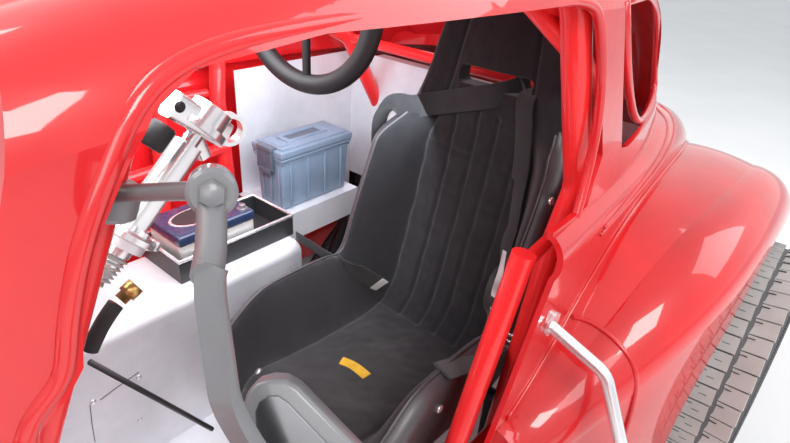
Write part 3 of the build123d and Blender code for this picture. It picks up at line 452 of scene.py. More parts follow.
def strap(name, points, width, thick, aim):
    """A flat strap along points of the drawing frame; aim gives the width direction at each point."""
    holder = shown(name + "_path", route(name + "_path", points, 3, 12))
    centres = [v.co.copy() for v in evaluated(holder).vertices]
    bpy.data.objects.remove(holder)
    lengths = [0.0]
    for a, b in zip(centres, centres[1:]):
        lengths.append(lengths[-1] + (b - a).length)
    rows, uvs = [], []
    last = len(centres) - 1
    for index, centre in enumerate(centres):
        fraction = index / last * (len(aim) - 1)
        low = min(int(fraction), len(aim) - 2)
        across = Vector(aim[low]).lerp(Vector(aim[low + 1]), fraction - low)
        along = (centres[min(index + 1, last)] - centres[max(index - 1, 0)]).normalized()
        across = (across - along * across.dot(along)).normalized()
        up = across.cross(along)
        rows.append([centre + across * (offset * width / 1000) + up * (lift * thick / 1000)
                     for offset, lift in STRAP_SECTION])
        uvs.append([(offset * width / 1000, lengths[index]) for offset, _ in STRAP_SECTION])
    return outward(skin_grid(name, rows, uvs, wrap=True, caps=True), 0)


def skin_grid(name, rows, uvs=None, wrap=False, ring=False, caps=False):
    """Quads over rows of points, in metres; wrap closes each row and ring joins the last to the first."""
    verts = [point for row in rows for point in row]
    width, last = len(rows[0]), len(rows) - 1
    faces = []
    for r in range(last + 1 if ring else last):
        here, after = r * width, (r + 1) % len(rows) * width
        for c in range(width if wrap else width - 1):
            d = (c + 1) % width
            faces.append((here + c, here + d, after + d, after + c))
    if caps:
        faces.append(tuple(range(width))[::-1])
        faces.append(tuple(last * width + c for c in range(width)))
    piece = mesh_piece(name, verts, faces)
    if uvs:
        lay_uvs(piece, [uv for row in uvs for uv in row])
    return piece


def dress_node(node, finish):
    """Gives a CAD node a finish in place of its plain one."""
    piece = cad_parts[node]
    for slot in piece.material_slots:
        slot.material = FINISHES[finish]
    if not piece.material_slots:
        piece.data.materials.append(FINISHES[finish])


# Seat


# Stations along the seat: spine x, z; crest of the wings x, z; half width
SEAT_STATIONS = (
    (-98, 304, -90, 312, 178), (-96, 338, -88, 366, 194), (-118, 366, -104, 408, 204),
    (-160, 373, -146, 446, 208), (-220, 362, -208, 484, 208), (-300, 352, -285, 489, 208),
    (-370, 346, -345, 487, 208), (-430, 344, -385, 483, 208), (-480, 352, -414, 477, 208),
    (-515, 380, -432, 492, 208), (-535, 430, -446, 524, 208), (-556, 505, -462, 572, 208),
    (-578, 586, -482, 622, 208), (-594, 660, -503, 672, 208), (-604, 712, -524, 718, 206),
    (-611, 750, -566, 750, 190), (-616, 784, -602, 781, 170), (-624, 840, -619, 840, 152),
    (-634, 910, -630, 910, 138), (-643, 972, -639, 972, 124), (-650, 1022, -646, 1022, 114),
    (-656, 1050, -653, 1050, 104), (-668, 1058, -667, 1060, 92),
)
# Rows along the seat, columns across its front and back, and the thickness of its shell
SEAT_ROWS = 210
SEAT_COLUMNS = 112
BACK_COLUMNS = 24
SEAT_BACK = 34
# Where the sewn channels start and end along the seat, their lines across it and the pitch of the cross seams
SEWN_FROM, SEWN_TO = 0.36, 0.735
CHANNEL_LINES = (-62, -10, 33, 84)
CROSS_PITCH = 86
# Roundest edge of the wings, the share of the half width inside them, and where they end along the seat
WING_ROUND = 26.0
WING_INNER = 0.60
WING_END = 0.74
# Opposite corners of the slot for the shoulder belts
BELT_SLOT = (-700, SEAT_Y - 72, 838), (-560, SEAT_Y + 84, 872)
# Profile of a press stud, the studs that the photograph shows, and the place and axis of the others
STUD = ((-3, 0.1), (-3, 7.0), (1.0, 7.4), (2.4, 6.2), (3.0, 3.4), (3.1, 0.1))
STUD_PIXELS = ((372, 133), (258, 372))
OTHER_STUDS = [
    ((-124, 314, 378), (0.5, 0, 1)), ((-516, 386, 716), (0, 1, 0.2)),
    ((-250, -30, 440), (0, -1, 0)), ((-250, 386, 440), (0, 1, 0)),
]


def eased(values, t):
    """Smooth interpolation through rows of numbers, t from 0 to 1."""
    place = t * (len(values) - 1)
    i = min(int(place), len(values) - 2)
    f = place - i
    p = [values[max(0, min(len(values) - 1, i + k))] for k in (-1, 0, 1, 2)]
    return [
        0.5 * (2 * b + (c - a) * f + (2 * a - 5 * b + 4 * c - d) * f * f + (3 * b - a - 3 * c + d) * f ** 3)
        for a, b, c, d in zip(*p)
    ]


def step(x):
    """Smooth rise from 0 to 1."""
    x = max(0.0, min(1.0, x))
    return x * x * (3 - 2 * x)


def groove(distance, width=3.2):
    """Depth of a seam, as a share, at a distance from its line in mm."""
    return math.exp(-(distance / width) ** 2)


def seat_section(t, side):
    """The section's values at t along the seat, and its rise from the spine at a place across it in mm."""
    x, z, cx, cz, half = eased(SEAT_STATIONS, t)
    wing = max(math.hypot(cx - x, cz - z), 0.1)
    radius = min(WING_ROUND, 0.5 * wing + 10)
    crest = half - radius
    inner = WING_INNER * half
    a = abs(side)
    if a >= crest:
        height = wing - radius + math.sqrt(max(radius ** 2 - (a - crest) ** 2, 0))
    else:
        height = wing * step((a - inner) / (crest - inner)) if a > inner else 0.0
    return x, z, cx, cz, half, wing, crest, inner, height


def seat_relief(along, side, inner, sewn):
    """Sewn channels and puffs of the cover in mm; along is in mm from the front lip."""
    relief = 0.0
    a = abs(side)
    if a < inner + 4:
        relief += 4.0 * (1 - (a / inner) ** 2)
    seams = [-0.98 * inner, 0.98 * inner]
    if sewn:
        seams += CHANNEL_LINES
    for seam in seams:
        relief -= 4.4 * groove(side - seam)
    if sewn and (a < 0.96 * inner) and not (-6 < side < 29):
        lean = along + side * 0.08
        offset = (lean % CROSS_PITCH) - CROSS_PITCH / 2
        relief -= 3.6 * groove(offset, 2.8)
        relief += 1.8 * math.cos(offset / CROSS_PITCH * 2 * math.pi)
    return relief


class COUPE_OT_seat(bpy.types.Operator):
    """Builds the bucket seat with its sewn cover, bolsters, piping and snaps"""

    bl_idname = "coupe.seat"
    bl_label = "Seat"

    def execute(self, context):
        rows, uvs = [], []
        along = 0.0
        before = None
        for r in range(SEAT_ROWS + 1):
            t = r / SEAT_ROWS
            x, z = seat_section(t, 0)[:2]
            if before:
                along += math.hypot(x - before[0], z - before[1])
            before = (x, z)
            row, uv = self.row(t, along)
            rows.append(row)
            uvs.append(uv)
        seat = skin_grid("seat_cushion", rows, uvs, wrap=True, caps=True)
        width = len(rows[0])
        outward(seat, 0.00001)
        settle(seat, ("seat_cloth", "vinyl", "black_plastic"))
        index = self.sides(rows, width)
        for polygon in seat.data.polygons:
            polygon.material_index = index(polygon.center)
        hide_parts("seat_shell", "seat_cover")
        self.slot_cut(seat)
        self.piping()
        self.snaps()
        return {"FINISHED"}

    def row(self, t, along):
        """Points and cloth places once round the seat, over its front and round its back."""
        x, z, cx, cz, half, wing, crest, inner, _ = seat_section(t, 0)
        ahead = eased(SEAT_STATIONS, min(t + 0.004, 1.0))
        behind = eased(SEAT_STATIONS, max(t - 0.004, 0.0))
        tx, tz = ahead[0] - behind[0], ahead[1] - behind[1]
        size = math.hypot(tx, tz)
        nx, nz = tz / size, -tx / size
        dx, dz = (cx - x) / wing, (cz - z) / wing
        row, uv = [], []
        for c in range(SEAT_COLUMNS + 1):
            u = -math.cos(math.pi * c / SEAT_COLUMNS) * 0.35 + (2 * c / SEAT_COLUMNS - 1) * 0.65
            side = u * half
            height = seat_section(t, side)[8]
            relief = seat_relief(along, side, inner, SEWN_FROM < t < SEWN_TO)
            if abs(side) < crest:
                place = Vector((side / 60, along / 60, 3.1))
                relief += 2.2 * noise.noise(place) + 1.1 * noise.noise(place * 3.7)
            row.append(spot(x + dx * height + nx * relief, SEAT_Y + side, z + dz * height + nz * relief))
            uv.append((side / 1000, along / 1000))
        for c in range(1, BACK_COLUMNS):
            u = 1 - 2 * c / BACK_COLUMNS
            drop = SEAT_BACK * min(1.0, (1 - abs(u)) * 9) ** 0.5
            reach = half * (1 if abs(u) > 0.95 else 0.995)
            row.append(spot(x - nx * drop, SEAT_Y + u * reach, z - nz * drop))
            uv.append((u * half / 1000, along / 1000))
        return row, uv

    def sides(self, rows, width):
        """Chooses cloth, vinyl or shell from the nearest row and column."""
        tree = kdtree.KDTree(len(rows) * width)
        for r, row in enumerate(rows):
            for c, point in enumerate(row):
                tree.insert(point, r * width + c)
        tree.balance()

        def index(centre):
            _, found, _ = tree.find(centre)
            r, c = divmod(found, width)
            if c > SEAT_COLUMNS:
                return 2
            t = r / SEAT_ROWS
            crest = seat_section(t, 0)[6]
            side = (centre.y - SHIFT.y) * 1000 - SEAT_Y
            return 1 if abs(side) > crest + 3 and t < WING_END else 0

        return index

    def slot_cut(self, seat):
        """The slot that the shoulder belts come through."""
        cutter = block("seat_slot", *BELT_SLOT, 0.012, 4)
        modifier = seat.modifiers.new("Slot", "BOOLEAN")
        modifier.operation, modifier.solver, modifier.object = "DIFFERENCE", "EXACT", cutter
        cut = evaluated(seat)
        seat.modifiers.clear()
        seat.data = cut
        bpy.data.objects.remove(cutter)

    def piping(self):
        """A sewn cord along the crest of each wing."""
        parts = []
        start, count = 0.05, 64
        for way in (-1, 1):
            points = []
            for k in range(count):
                t = start + (WING_END - start) * k / (count - 1)
                x, z, cx, cz, _, wing, crest, _, _ = seat_section(t, 0)
                points.append((cx + (cx - x) / wing, SEAT_Y + way * (crest + 3), cz + (cz - z) / wing))
            parts.append(pipe(f"cord_{way}", points, 2.4, resolution=3))
        settle(joined("seat_piping", parts), "vinyl")

    def snaps(self):
        """The press studs of the cover."""
        parts = []
        seat = ray_tree("seat_cushion")
        places = [(place, (0.4, -0.4, 0.5)) for place in seen_line(seat, STUD_PIXELS, 0.5)]
        for place, axis in places + OTHER_STUDS:
            parts.append(turned("snap", STUD, place, axis, 24))
        settle(joined("seat_snaps", parts), "bright_steel")


# Lines through the photograph


def camera_ray(px, py):
    """Start and direction, in metres, of the line through a pixel of the photograph."""
    camera = bpy.context.scene.camera
    focal = camera.data.lens / camera.data.sensor_width * PHOTO_WIDTH
    local = Vector(((px - PHOTO_WIDTH / 2) / focal, -(py - PHOTO_HEIGHT / 2) / focal, -1.0))
    matrix = camera.matrix_world
    return matrix.translation.copy(), (matrix.to_3x3() @ local).normalized()


def ray_tree(*names):
    """One ray tree over several shown objects or CAD nodes."""
    bm = bmesh.new()
    for name in names:
        bm.from_mesh(bpy.data.objects[name].data)
    tree = BVHTree.FromBMesh(bm)
    bm.free()
    return tree


def seen_line(tree, pixels, lift):
    """Points of the drawing frame where the photograph's pixels fall on a surface."""
    points = []
    for px, py in pixels:
        start, ray = camera_ray(px, py)
        place, normal, _, _ = tree.ray_cast(start, ray)
        if place is None:
            continue
        if normal.dot(ray) > 0:
            normal = -normal
        points.append(tuple((place + normal * (lift / 1000) - SHIFT) * 1000))
    return points


def on_plane(px, py, y):
    """Where the line through a pixel meets the upright plane at y of the drawing frame."""
    start, ray = camera_ray(px, py)
    place = start + ray * ((spot(0, y, 0).y - start.y) / ray.y)
    return tuple((place - SHIFT) * 1000)


def nearer(point, lift):
    """A point of the drawing frame moved towards the camera."""
    eye = (bpy.context.scene.camera.matrix_world.translation - SHIFT) * 1000
    return tuple(Vector(point) + (eye - Vector(point)).normalized() * lift)


# Belts


# Pixels of the photograph along the belts, the label of the lap belt and the mark on the seat
RIGHT_BELT_PIXELS = ((522, 92), (503, 95), (480, 98), (455, 101), (430, 104), (412, 109))
LEFT_BELT_PIXELS = (
    (526, 100), (526, 130), (523, 165), (519, 200), (513, 226), (505, 250), (500, 275), (497, 300),
    (495, 325), (492, 345),
)
TAIL_PIXELS = ((492, 345), (480, 357), (462, 365), (440, 374))
LAP_PIXELS = ((345, 266), (356, 273), (367, 279), (377, 284))
LAP_LABEL_PIXELS = ((373, 282), (376, 283.5), (379, 285))
MARK_PIXELS = ((341, 361), (350, 364), (359, 370), (367, 377))
ADJUSTER_PIXEL = (501, 337)
# Each bar of the adjuster: its middle, across and up, and its lengths
ADJUSTER_BARS = ((-27, 0, 5, 30), (27, 0, 5, 30), (0, 14, 54, 6), (0, -14, 54, 6), (0, 0, 54, 5))
# Where the shoulder belts start behind the seat, and where the right one ends beside it
RIGHT_START, LEFT_START = [(-668, 235, 856), (-642, 240, 855)], [(-668, 256, 852), (-640, 256, 851)]
RIGHT_END = [(-568, -5, 776), (-560, -36, 752), (-566, -46, 700), (-580, -50, 620), (-600, -54, 540)]


class COUPE_OT_belts(bpy.types.Operator):
    """Lays the shoulder and lap belts over the seat with their adjusters and blank labels"""

    bl_idname = "coupe.belts"
    bl_label = "Belts"

    def execute(self, context):
        width = context.scene.coupe_sizes.belt_width * 1000
        seat = ray_tree("seat_cushion")
        right = seen_line(seat, RIGHT_BELT_PIXELS, 7)
        left = seen_line(seat, LEFT_BELT_PIXELS, 8)
        tail = seen_line(seat, TAIL_PIXELS, 7)
        lap = seen_line(seat, LAP_PIXELS, 9)
        lap_start = [on_plane(296, 236, -112), on_plane(318, 250, -60), on_plane(331, 258, -30)]
        parts = [
            strap("belt_right", RIGHT_START + right + RIGHT_END, width, 2.4,
                  [(0, -0.2, 1)] * 8 + [(-0.4, 0, 1), (1, 0, 0.3)] + [(1, 0, 0)] * 3),
            strap("belt_left", LEFT_START + left, width * 0.8, 2.4,
                  [(0, 1, 0.3)] + [(0.2, 1, 0)] * 4 + [(0.6, 1, 0)] * 7),
            strap("belt_left_tail", tail, width * 0.92, 2.2, [(0.6, 1, 0)] + [(0.3, 1, 0)] * 3),
            strap("belt_lap", lap_start + lap, width, 2.4, [(0.5, 0, 1)] * 7),
        ]
        settle(joined("belts", parts), "webbing")
        labels = [
            strap("label_lap", seen_line(seat, LAP_LABEL_PIXELS, 12), width * 0.9, 1.4, [(0.5, 0, 1)] * 3),
            strap("label_left", [nearer(point, 5) for point in left[5:9]], 14, 1.4, [(0.6, 1, 0)] * 4),
        ]
        settle(joined("belt_labels", labels), "white_label")
        mark = seen_line(seat, MARK_PIXELS, 1.5)
        settle(strap("seat_mark", mark, 20, 1.2, [(1, 0, 0)] * 4), "yellow_cloth")
        x, y, z = seen_line(seat, (ADJUSTER_PIXEL,), 12)[0]
        bars = []
        for dy, dz, ly, lz in ADJUSTER_BARS:
            bars.append(block("adjuster", (x - 2, y + dy - ly / 2, z + dz - lz / 2),
                              (x + 2.5, y + dy + ly / 2, z + dz + lz / 2), 0.0012, 2))
        settle(joined("belt_adjuster", bars), "bright_steel")
        return {"FINISHED"}


# Cabin


# Opposite corners of the battery's case and lid, and the profile, places and height of its posts
BATTERY_CASE = (-316, -274, 471), (-144, -160, 542)
BATTERY_LID = (-318, -276, 536), (-142, -158, 560)
POST = ((-4, 0.1), (-4, 11), (4, 11), (4, 7), (12, 6.5), (13, 5), (13, 0.1))
POST_PLACES = ((-300, -256, 558), (-300, -178, 558))


class COUPE_OT_battery(bpy.types.Operator):
    """Builds the battery case with its lid, blank badge, terminals and the tray's bright rim"""

    bl_idname = "coupe.battery"
    bl_label = "Battery"

    def execute(self, context):
        case = block("battery_case", *BATTERY_CASE, 0.009, 4)
        case.data.materials.append(FINISHES["case_steel"])
        lid = block("battery_lid", *BATTERY_LID, 0.009, 5)
        lid.data.materials.append(FINISHES["battery_plastic"])
        parts = [case, lid, self.badge()]
        for place in POST_PLACES:
            post = turned("post", POST, place, (0, 0, 1), 32)
            post.data.materials.append(FINISHES["dull_steel"])
            parts.append(post)
        battery = auto_smooth(joined("battery_body", parts))
        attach(battery, "car")
        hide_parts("battery")
        low, high = [(corner - SHIFT) * 1000 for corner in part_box("battery_tray")]
        corners = [(low.x, low.y), (high.x, low.y), (high.x, high.y), (low.x, high.y)]
        run = [(x + math.copysign(2, low.x + 100 - x), y, high.z + 1) for x, y in corners]
        settle(pipe("tray_rim", run, 4.2, closed=True, smooth=False), "bright_steel")
        return {"FINISHED"}

    def badge(self):
        """A raised oval plate with a pale rim and no marking."""
        # Middle, half length, half width and foot of the plate
        mx, my, long, wide, foot, count = -216, -214, 58, 34, 559, 64
        rows = []
        # Share of the outline and lift at each ring
        rings = ((1.0, 0.0), (1.0, 2.2), (0.94, 3.0), (0.9, 2.4), (0.86, 1.8), (0.5, 2.0), (0.02, 2.0))
        for share, lift in rings:
            row = []
            for k in range(count):
                angle = 2 * math.pi * k / count
                x, y = mx + long * share * math.cos(angle), my + wide * share * math.sin(angle)
                row.append(spot(x, y, foot + lift))
            rows.append(row)
        piece = outward(skin_grid("badge", rows, wrap=True, caps=True))
        piece.data.materials.append(FINISHES["bright_steel"])
        piece.data.materials.append(FINISHES["black_plastic"])
        for polygon in piece.data.polygons:
            centre = (polygon.center - SHIFT) * 1000
            out = math.hypot((centre.x - mx) / long, (centre.y - my) / wide)
            polygon.material_index = 1 if out < 0.9 else 0
        return piece


# The storage box: back, right, front and left of its lid, and the heights of its foot, rim, lid and top
BOX_SIDES = (-704, -366, -468, -254)
BOX_FOOT, BOX_RIM, BOX_LID, BOX_TOP = 454.3, 590, 612, 618
RIB_FOOT = 466
RIB_PITCH_FRONT, RIB_PITCH_SIDE = 30, 56


class COUPE_OT_storage(bpy.types.Operator):
    """Builds the storage box with its tapered body, lid, latch and a dark plate of painted shade for its
    handle recess
    """

    bl_idname = "coupe.storage"
    bl_label = "Storage box"

    def execute(self, context):
        x0, y0, x1, y1 = BOX_SIDES
        rim, lid, top = BOX_RIM, BOX_LID, BOX_TOP
        parts = [self.tapered(x0 + 6, y0 + 6, x1 - 6, y1 - 6, BOX_FOOT, rim, 6),
                 block("rim", (x0 + 2, y0 + 2, rim - 4), (x1 - 2, y1 - 2, rim + 4), 0.002, 2),
                 block("rim_low", (x0 + 5, y0 + 5, rim - 12), (x1 - 5, y1 - 5, rim - 7), 0.001, 2),
                 block("lid", (x0, y0, rim + 5), (x1, y1, lid), 0.004, 3),
                 block("lid_top", (x0 + 10, y0 + 9, lid - 4), (x1 - 10, y1 - 9, top), 0.004, 3)]
        for x in range(x0 + 34, x1 - 20, RIB_PITCH_SIDE):
            parts.append(block("rib", (x, y1 - 8, RIB_FOOT), (x + 5, y1 - 3, rim - 12), 0.0012, 2))
        for y in range(y0 + 30, y1 - 20, RIB_PITCH_FRONT):
            parts.append(block("rib", (x1 - 8, y, RIB_FOOT), (x1 - 3.5, y + 4, rim - 14), 0.0012, 2))
        for x in (x0 + 56, x1 - 62):
            parts.append(block("handle_foot", (x, -330, top - 2), (x + 14, -290, top + 4), 0.002, 2))
        for y in (-330, -292):
            parts.append(block("handle_bar", (x0 + 60, y - 4, top - 1), (x1 - 52, y + 4, top + 4), 0.0018, 2))
        parts.append(block("front_pad", (x1 - 44, -344, top - 2), (x1 - 16, -276, top + 2.5), 0.002, 2))
        shell = settle(joined("storage_body", parts), "case_plastic")
        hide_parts("storage_box")
        auto_smooth(shell)
        # Handle recess as a thin dark plate of painted shade between the handle bars, and the latch
        dark = [block("recess", (x0 + 62, -326, top - 0.8), (x1 - 54, -296, top + 0.4), 0.0004, 1),
                block("latch_plate", (x1 - 2, -336, lid - 56), (x1 + 5, -284, lid), 0.002, 2),
                block("latch_lip", (x1 - 12, -338, lid - 6), (x1 + 9, -282, top), 0.003, 3),
                block("latch_foot", (x1 + 1, -330, lid - 64), (x1 + 8, -290, lid - 50), 0.002, 2)]
        for y in (-334, -310, -286):
            dark.append(block("latch_rib", (x1 + 3, y - 2, lid - 52), (x1 + 8, y + 2, lid - 4), 0.001, 2))
        auto_smooth(settle(joined("storage_latch", dark), "case_dark"))
        return {"FINISHED"}

    def tapered(self, x0, y0, x1, y1, z0, z1, taper):
        """A rounded box whose lower corners are drawn in."""
        piece = block("body", (x0, y0, z0), (x1, y1, z1), 0)
        middle = spot((x0 + x1) / 2, (y0 + y1) / 2, 0)
        for vertex in piece.data.vertices:
            if vertex.co.z < spot(0, 0, (z0 + z1) / 2).z:
                for axis in (0, 1):
                    vertex.co[axis] -= math.copysign(taper / 1000, vertex.co[axis] - middle[axis])
        bm = bmesh.new()
        bm.from_mesh(piece.data)
        bmesh.ops.bevel(bm, geom=bm.edges[:], offset=0.006, segments=4, profile=0.5, affect="EDGES")
        bm.to_mesh(piece.data)
        bm.free()
        return piece


# Ends of the steering column, high and low, and the profiles turned on its line as (along, radius)
COLUMN_HIGH, COLUMN_LOW = Vector((-8, SEAT_Y, 900)), Vector((98, SEAT_Y, 799))
FLANGE = ((0, 8), (0, 30), (3, 33), (9, 33), (11, 28), (12, 20), (16, 18), (30, 17), (30, 8))
LUG = ((0, 0.1), (0, 11), (9, 11), (11, 9), (11, 0.1))
BOLT = ((-6, 0.1), (-6, 4.6), (-1, 5.0), (-1, 0.1))
CLAMP = ((0, 14), (0, 19), (14, 19), (14, 14), (0, 14))
# HOLE is a flat disc that stands for a hole: painted shade, not a cut
HOLE = ((-1, 0.1), (-1, 6), (0.6, 6), (0.8, 0.1))
SWITCH = ((-14, 0.1), (-14, 12), (-11, 14), (11, 14), (14, 12), (14, 0.1))
NUT = ((-10, 0.1), (-10, 11), (4, 11), (4, 8), (12, 8), (12, 0.1))
SCREW = ((0, 0.1), (0, 5.5), (1.6, 5), (2.6, 3), (2.8, 0.1))
HOSE_PIXELS = ((116, 304), (108, 314), (98, 330), (90, 350))


class COUPE_OT_column(bpy.types.Operator):
    """Builds the column's tube, flange, bellows, hub block and brass fitting"""

    bl_idname = "coupe.column"
    bl_label = "Column"

    def execute(self, context):
        line = (COLUMN_LOW - COLUMN_HIGH).normalized()
        flat = Vector((line.z, 0, -line.x))

        def at(along, across=0.0, side=0.0):
            return COLUMN_HIGH + line * along + flat * across + Vector((0, side, 0))

        def seen(px, py, out=0.0):
            return Vector(on_plane(px, py, SEAT_Y + out))

        parts = [self.beam("tube", at(18), at(142), 15, 12), turned("flange", FLANGE, at(126), line, 48)]
        # Hub block across the column's end, with its pinch clamp and bracket
        parts.append(self.beam("hub_block", seen(170, 103), seen(222, 134), 13, 15))
        parts.append(turned("clamp", CLAMP, seen(226, 127, -8), (0.2, 1, 0), 32))
        parts.append(self.beam("bracket", seen(192, 133, -12), seen(203, 156, -12), 9, 8))
        for way in (-1, 1):
            parts.append(turned("lug", LUG, at(125, way * 33), line, 28))
            parts.append(turned("bolt", BOLT, at(127, 0, way * 27), line, 6))
        auto_smooth(settle(joined("column_tube", parts), "bright_steel"))
        # The hole is a near-black disc of painted shade on the hub block; the switch and hose are black parts
        dark = [turned("hole", HOLE, seen(180, 107, 13), (0, 1, 0), 24),
                turned("switch", SWITCH, seen(157, 136), line, 28),
                pipe("hose", [seen(px, py) for px, py in HOSE_PIXELS], 9)]
        settle(joined("column_darks", dark), "grip_rubber")
        nut = seen(129, 292)
        settle(turned("nut", NUT, nut, seen(112, 308) - nut, 6), "brass")
        folds = [(0, 12)]
        for k in range(6):
            folds += [(2 + k * 5, 19 - k * 0.6), (4.4 + k * 5, 13 - k * 0.5)]
        folds += [(34, 12), (36, 6)]
        settle(turned("column_bellows", folds, at(158), line, 48), "pale_rubber")
        self.tunnel_fittings()
        return {"FINISHED"}

    def tunnel_fittings(self):
        """The hatch seams, screws and the thin rod on the side of the tunnel."""
        tunnel = ray_tree("center_tunnel")
        seams = []
        for run in (((100, 400), (123, 383), (139, 372)), ((90, 405), (92, 424), (95, 442))):
            points = seen_line(tunnel, run, 0.2)
            if len(points) > 1:
                seams.append(pipe("seam", points, 0.7, smooth=False, resolution=2))
        rod = [on_plane(90, 362, 12), on_plane(150, 395, 8), on_plane(212, 429, 4)]
        seams.append(pipe("rod", rod, 4.5, smooth=False))
        settle(joined("tunnel_lines", seams), "black_plastic")
        screws = []
        for place in seen_line(tunnel, ((139, 377), (93, 402), (140, 420)), 0.0):
            screws.append(turned("screw", SCREW, place, (0, 1, 0), 20))
        settle(joined("tunnel_screws", screws), "bright_steel")

    def beam(self, name, start, end, wide, high):
        """A rounded square tube between two points."""
        axis = (end - start).normalized()
        side = Vector((0, 1, 0))
        up = axis.cross(side)
        rows = []
        for place in (start, end):
            row = []
            for k in range(32):
                angle = 2 * math.pi * k / 32
                c, s = math.cos(angle), math.sin(angle)
                c, s = math.copysign(abs(c) ** 0.45, c), math.copysign(abs(s) ** 0.45, s)
                row.append(spot(*(place + side * c * wide + up * s * high)))
            rows.append(row)
        return outward(skin_grid(name, rows, wrap=True, caps=True))


# Pixels round the mirror head and round its glass
HEAD_PIXELS = ((247, 470), (243, 404), (247, 391), (256, 383), (270, 379), (285, 380), (298, 388), (378, 470))
GLASS_PIXELS = ((259, 470), (255, 412), (259, 402), (268, 396), (278, 396), (288, 403), (352, 470))
# Profiles of the mirror's round parts, as (along, radius), and the axis of its joint
MIRROR_FOOT = ((-12, 0.1), (-12, 22), (-9, 26), (9, 26), (12, 22), (12, 0.1))
MIRROR_JOINT = ((-12, 0.1), (-12, 10), (-10, 12), (10, 12), (12, 10), (12, 0.1))
MIRROR_BOLT = ((14, 7), (18, 6), (19, 4), (19, 0.1))
JOINT_AXIS = (0.5, 0.8, 0.3)


class COUPE_OT_mirror(bpy.types.Operator):
    """Builds the jointed mirror arm, the mirror head and its glass"""

    bl_idname = "coupe.mirror"
    bl_label = "Mirror"

    def execute(self, context):
        foot, joint = Vector((187, 384, 963)), Vector(on_plane(212, 190, 492))
        knee, elbow = Vector(on_plane(211, 250, 520)), Vector(on_plane(207, 276, 534))
        parts = [
            turned("foot", MIRROR_FOOT, foot, (112, 16, -228), 40),
            pipe("reach", [foot, joint], 5, smooth=False),
            turned("joint", MIRROR_JOINT, joint, JOINT_AXIS, 36),
            turned("bolt", MIRROR_BOLT, joint, JOINT_AXIS, 6),
            pipe("link", [joint, knee, elbow], 7, smooth=False),
        ]
        head = Vector((202, 593, 878))
        arm = [elbow + Vector((-4, 0, 4)), elbow, on_plane(218, 350, 548), on_plane(229, 430, 562), head]
        parts.append(strap("arm", arm, 12, 7, [(-0.3, 0.9, -0.2)] * len(arm)))
        normal = Vector((0.685, 0.545, 0.483))
        parts.append(self.plate("head", HEAD_PIXELS, head, normal, 14))
        shell = settle(joined("mirror_shell", parts), "mirror_plastic")
        auto_smooth(shell)
        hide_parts("side_mirror")
        glass = self.plate("glass", GLASS_PIXELS, head + normal * 0.8, normal, 1)
        settle(glass, "mirror_glass", smooth=False)
        return {"FINISHED"}

    def plate(self, name, pixels, origin, normal, thick):
        """A flat plate whose outline fills the pixels when seen from the photograph's place."""
        origin = spot(*origin)
        normal = normal.normalized()
        front = []
        for px, py in pixels:
            start, ray = camera_ray(px, py)
            front.append(start + ray * ((origin - start).dot(normal) / ray.dot(normal)))
        verts = front + [point - normal * thick / 1000 for point in front]
        count = len(front)
        faces = [tuple(range(count)), tuple(range(2 * count - 1, count - 1, -1))]
        faces += [(k, count + k, count + (k + 1) % count, (k + 1) % count) for k in range(count)]
        piece = outward(mesh_piece(name, verts, faces))
        return baked(modified(piece, "BEVEL", width=min(0.0025, thick / 3000), segments=3))


# Wheels


def row_group():
    """A node group that sets one block round a wheel as many times as asked."""
    group = bpy.data.node_groups.new("blocks_in_a_row", "GeometryNodeTree")
    faces = group.interface
    for name, kind, value in (
            ("Count", "NodeSocketInt", 12), ("Size", "NodeSocketVector", (0.01, 0.01, 0.01)),
            ("Place", "NodeSocketVector", (0, 0, 0)), ("Tilt", "NodeSocketVector", (0, 0, 0)),
            ("Turn", "NodeSocketFloat", 0.0), ("Phase", "NodeSocketFloat", 0.0)):
        faces.new_socket(name, in_out="INPUT", socket_type=kind).default_value = value
    faces.new_socket("Material", in_out="INPUT", socket_type="NodeSocketMaterial")
    faces.new_socket("Geometry", in_out="OUTPUT", socket_type="NodeSocketGeometry")
    made = group.nodes.new
    given, out = made("NodeGroupInput").outputs, made("NodeGroupOutput").inputs
    cube, moved = made("GeometryNodeMeshCube"), made("GeometryNodeTransform")
    line, turn = made("GeometryNodeMeshLine"), made("ShaderNodeMath")
    angles, spread = made("ShaderNodeCombineXYZ"), made("GeometryNodeInstanceOnPoints")
    real, coat = made("GeometryNodeRealizeInstances"), made("GeometryNodeSetMaterial")
    line.inputs["Offset"].default_value = (0, 0, 0)
    turn.operation = "MULTIPLY_ADD"
    for source, target in (
            (given["Size"], cube.inputs["Size"]),
            (cube.outputs["Mesh"], moved.inputs["Geometry"]),
            (given["Place"], moved.inputs["Translation"]),
            (given["Tilt"], moved.inputs["Rotation"]),
            (given["Count"], line.inputs["Count"]),
            (made("GeometryNodeInputIndex").outputs[0], turn.inputs[0]),
            (given["Turn"], turn.inputs[1]),
            (given["Phase"], turn.inputs[2]),
            (turn.outputs[0], angles.inputs["Y"]),
            (line.outputs["Mesh"], spread.inputs["Points"]),
            (moved.outputs["Geometry"], spread.inputs["Instance"]),
            (angles.outputs[0], spread.inputs["Rotation"]),
            (spread.outputs["Instances"], real.inputs["Geometry"]),
            (real.outputs["Geometry"], coat.inputs["Geometry"]),
            (given["Material"], coat.inputs["Material"]),
            (coat.outputs["Geometry"], out["Geometry"])):
        group.links.new(source, target)
    return group


def row_of(name, finish, **values):
    """A plain mesh of repeats from the node group, its inputs given by name."""
    group = bpy.data.node_groups.get("blocks_in_a_row") or row_group()
    piece = mesh_piece(name, [], [])
    modifier = piece.modifiers.new("repeat", "NODES")
    modifier.node_group = group
    values["Material"] = FINISHES[finish]
    for socket in group.interface.items_tree:
        if socket.in_out == "INPUT" and socket.name in values:
            modifier[socket.identifier] = values[socket.name]
    plain = baked(piece)
    if FINISHES[finish].name not in plain.data.materials:
        plain.data.materials.append(FINISHES[finish])
    return plain


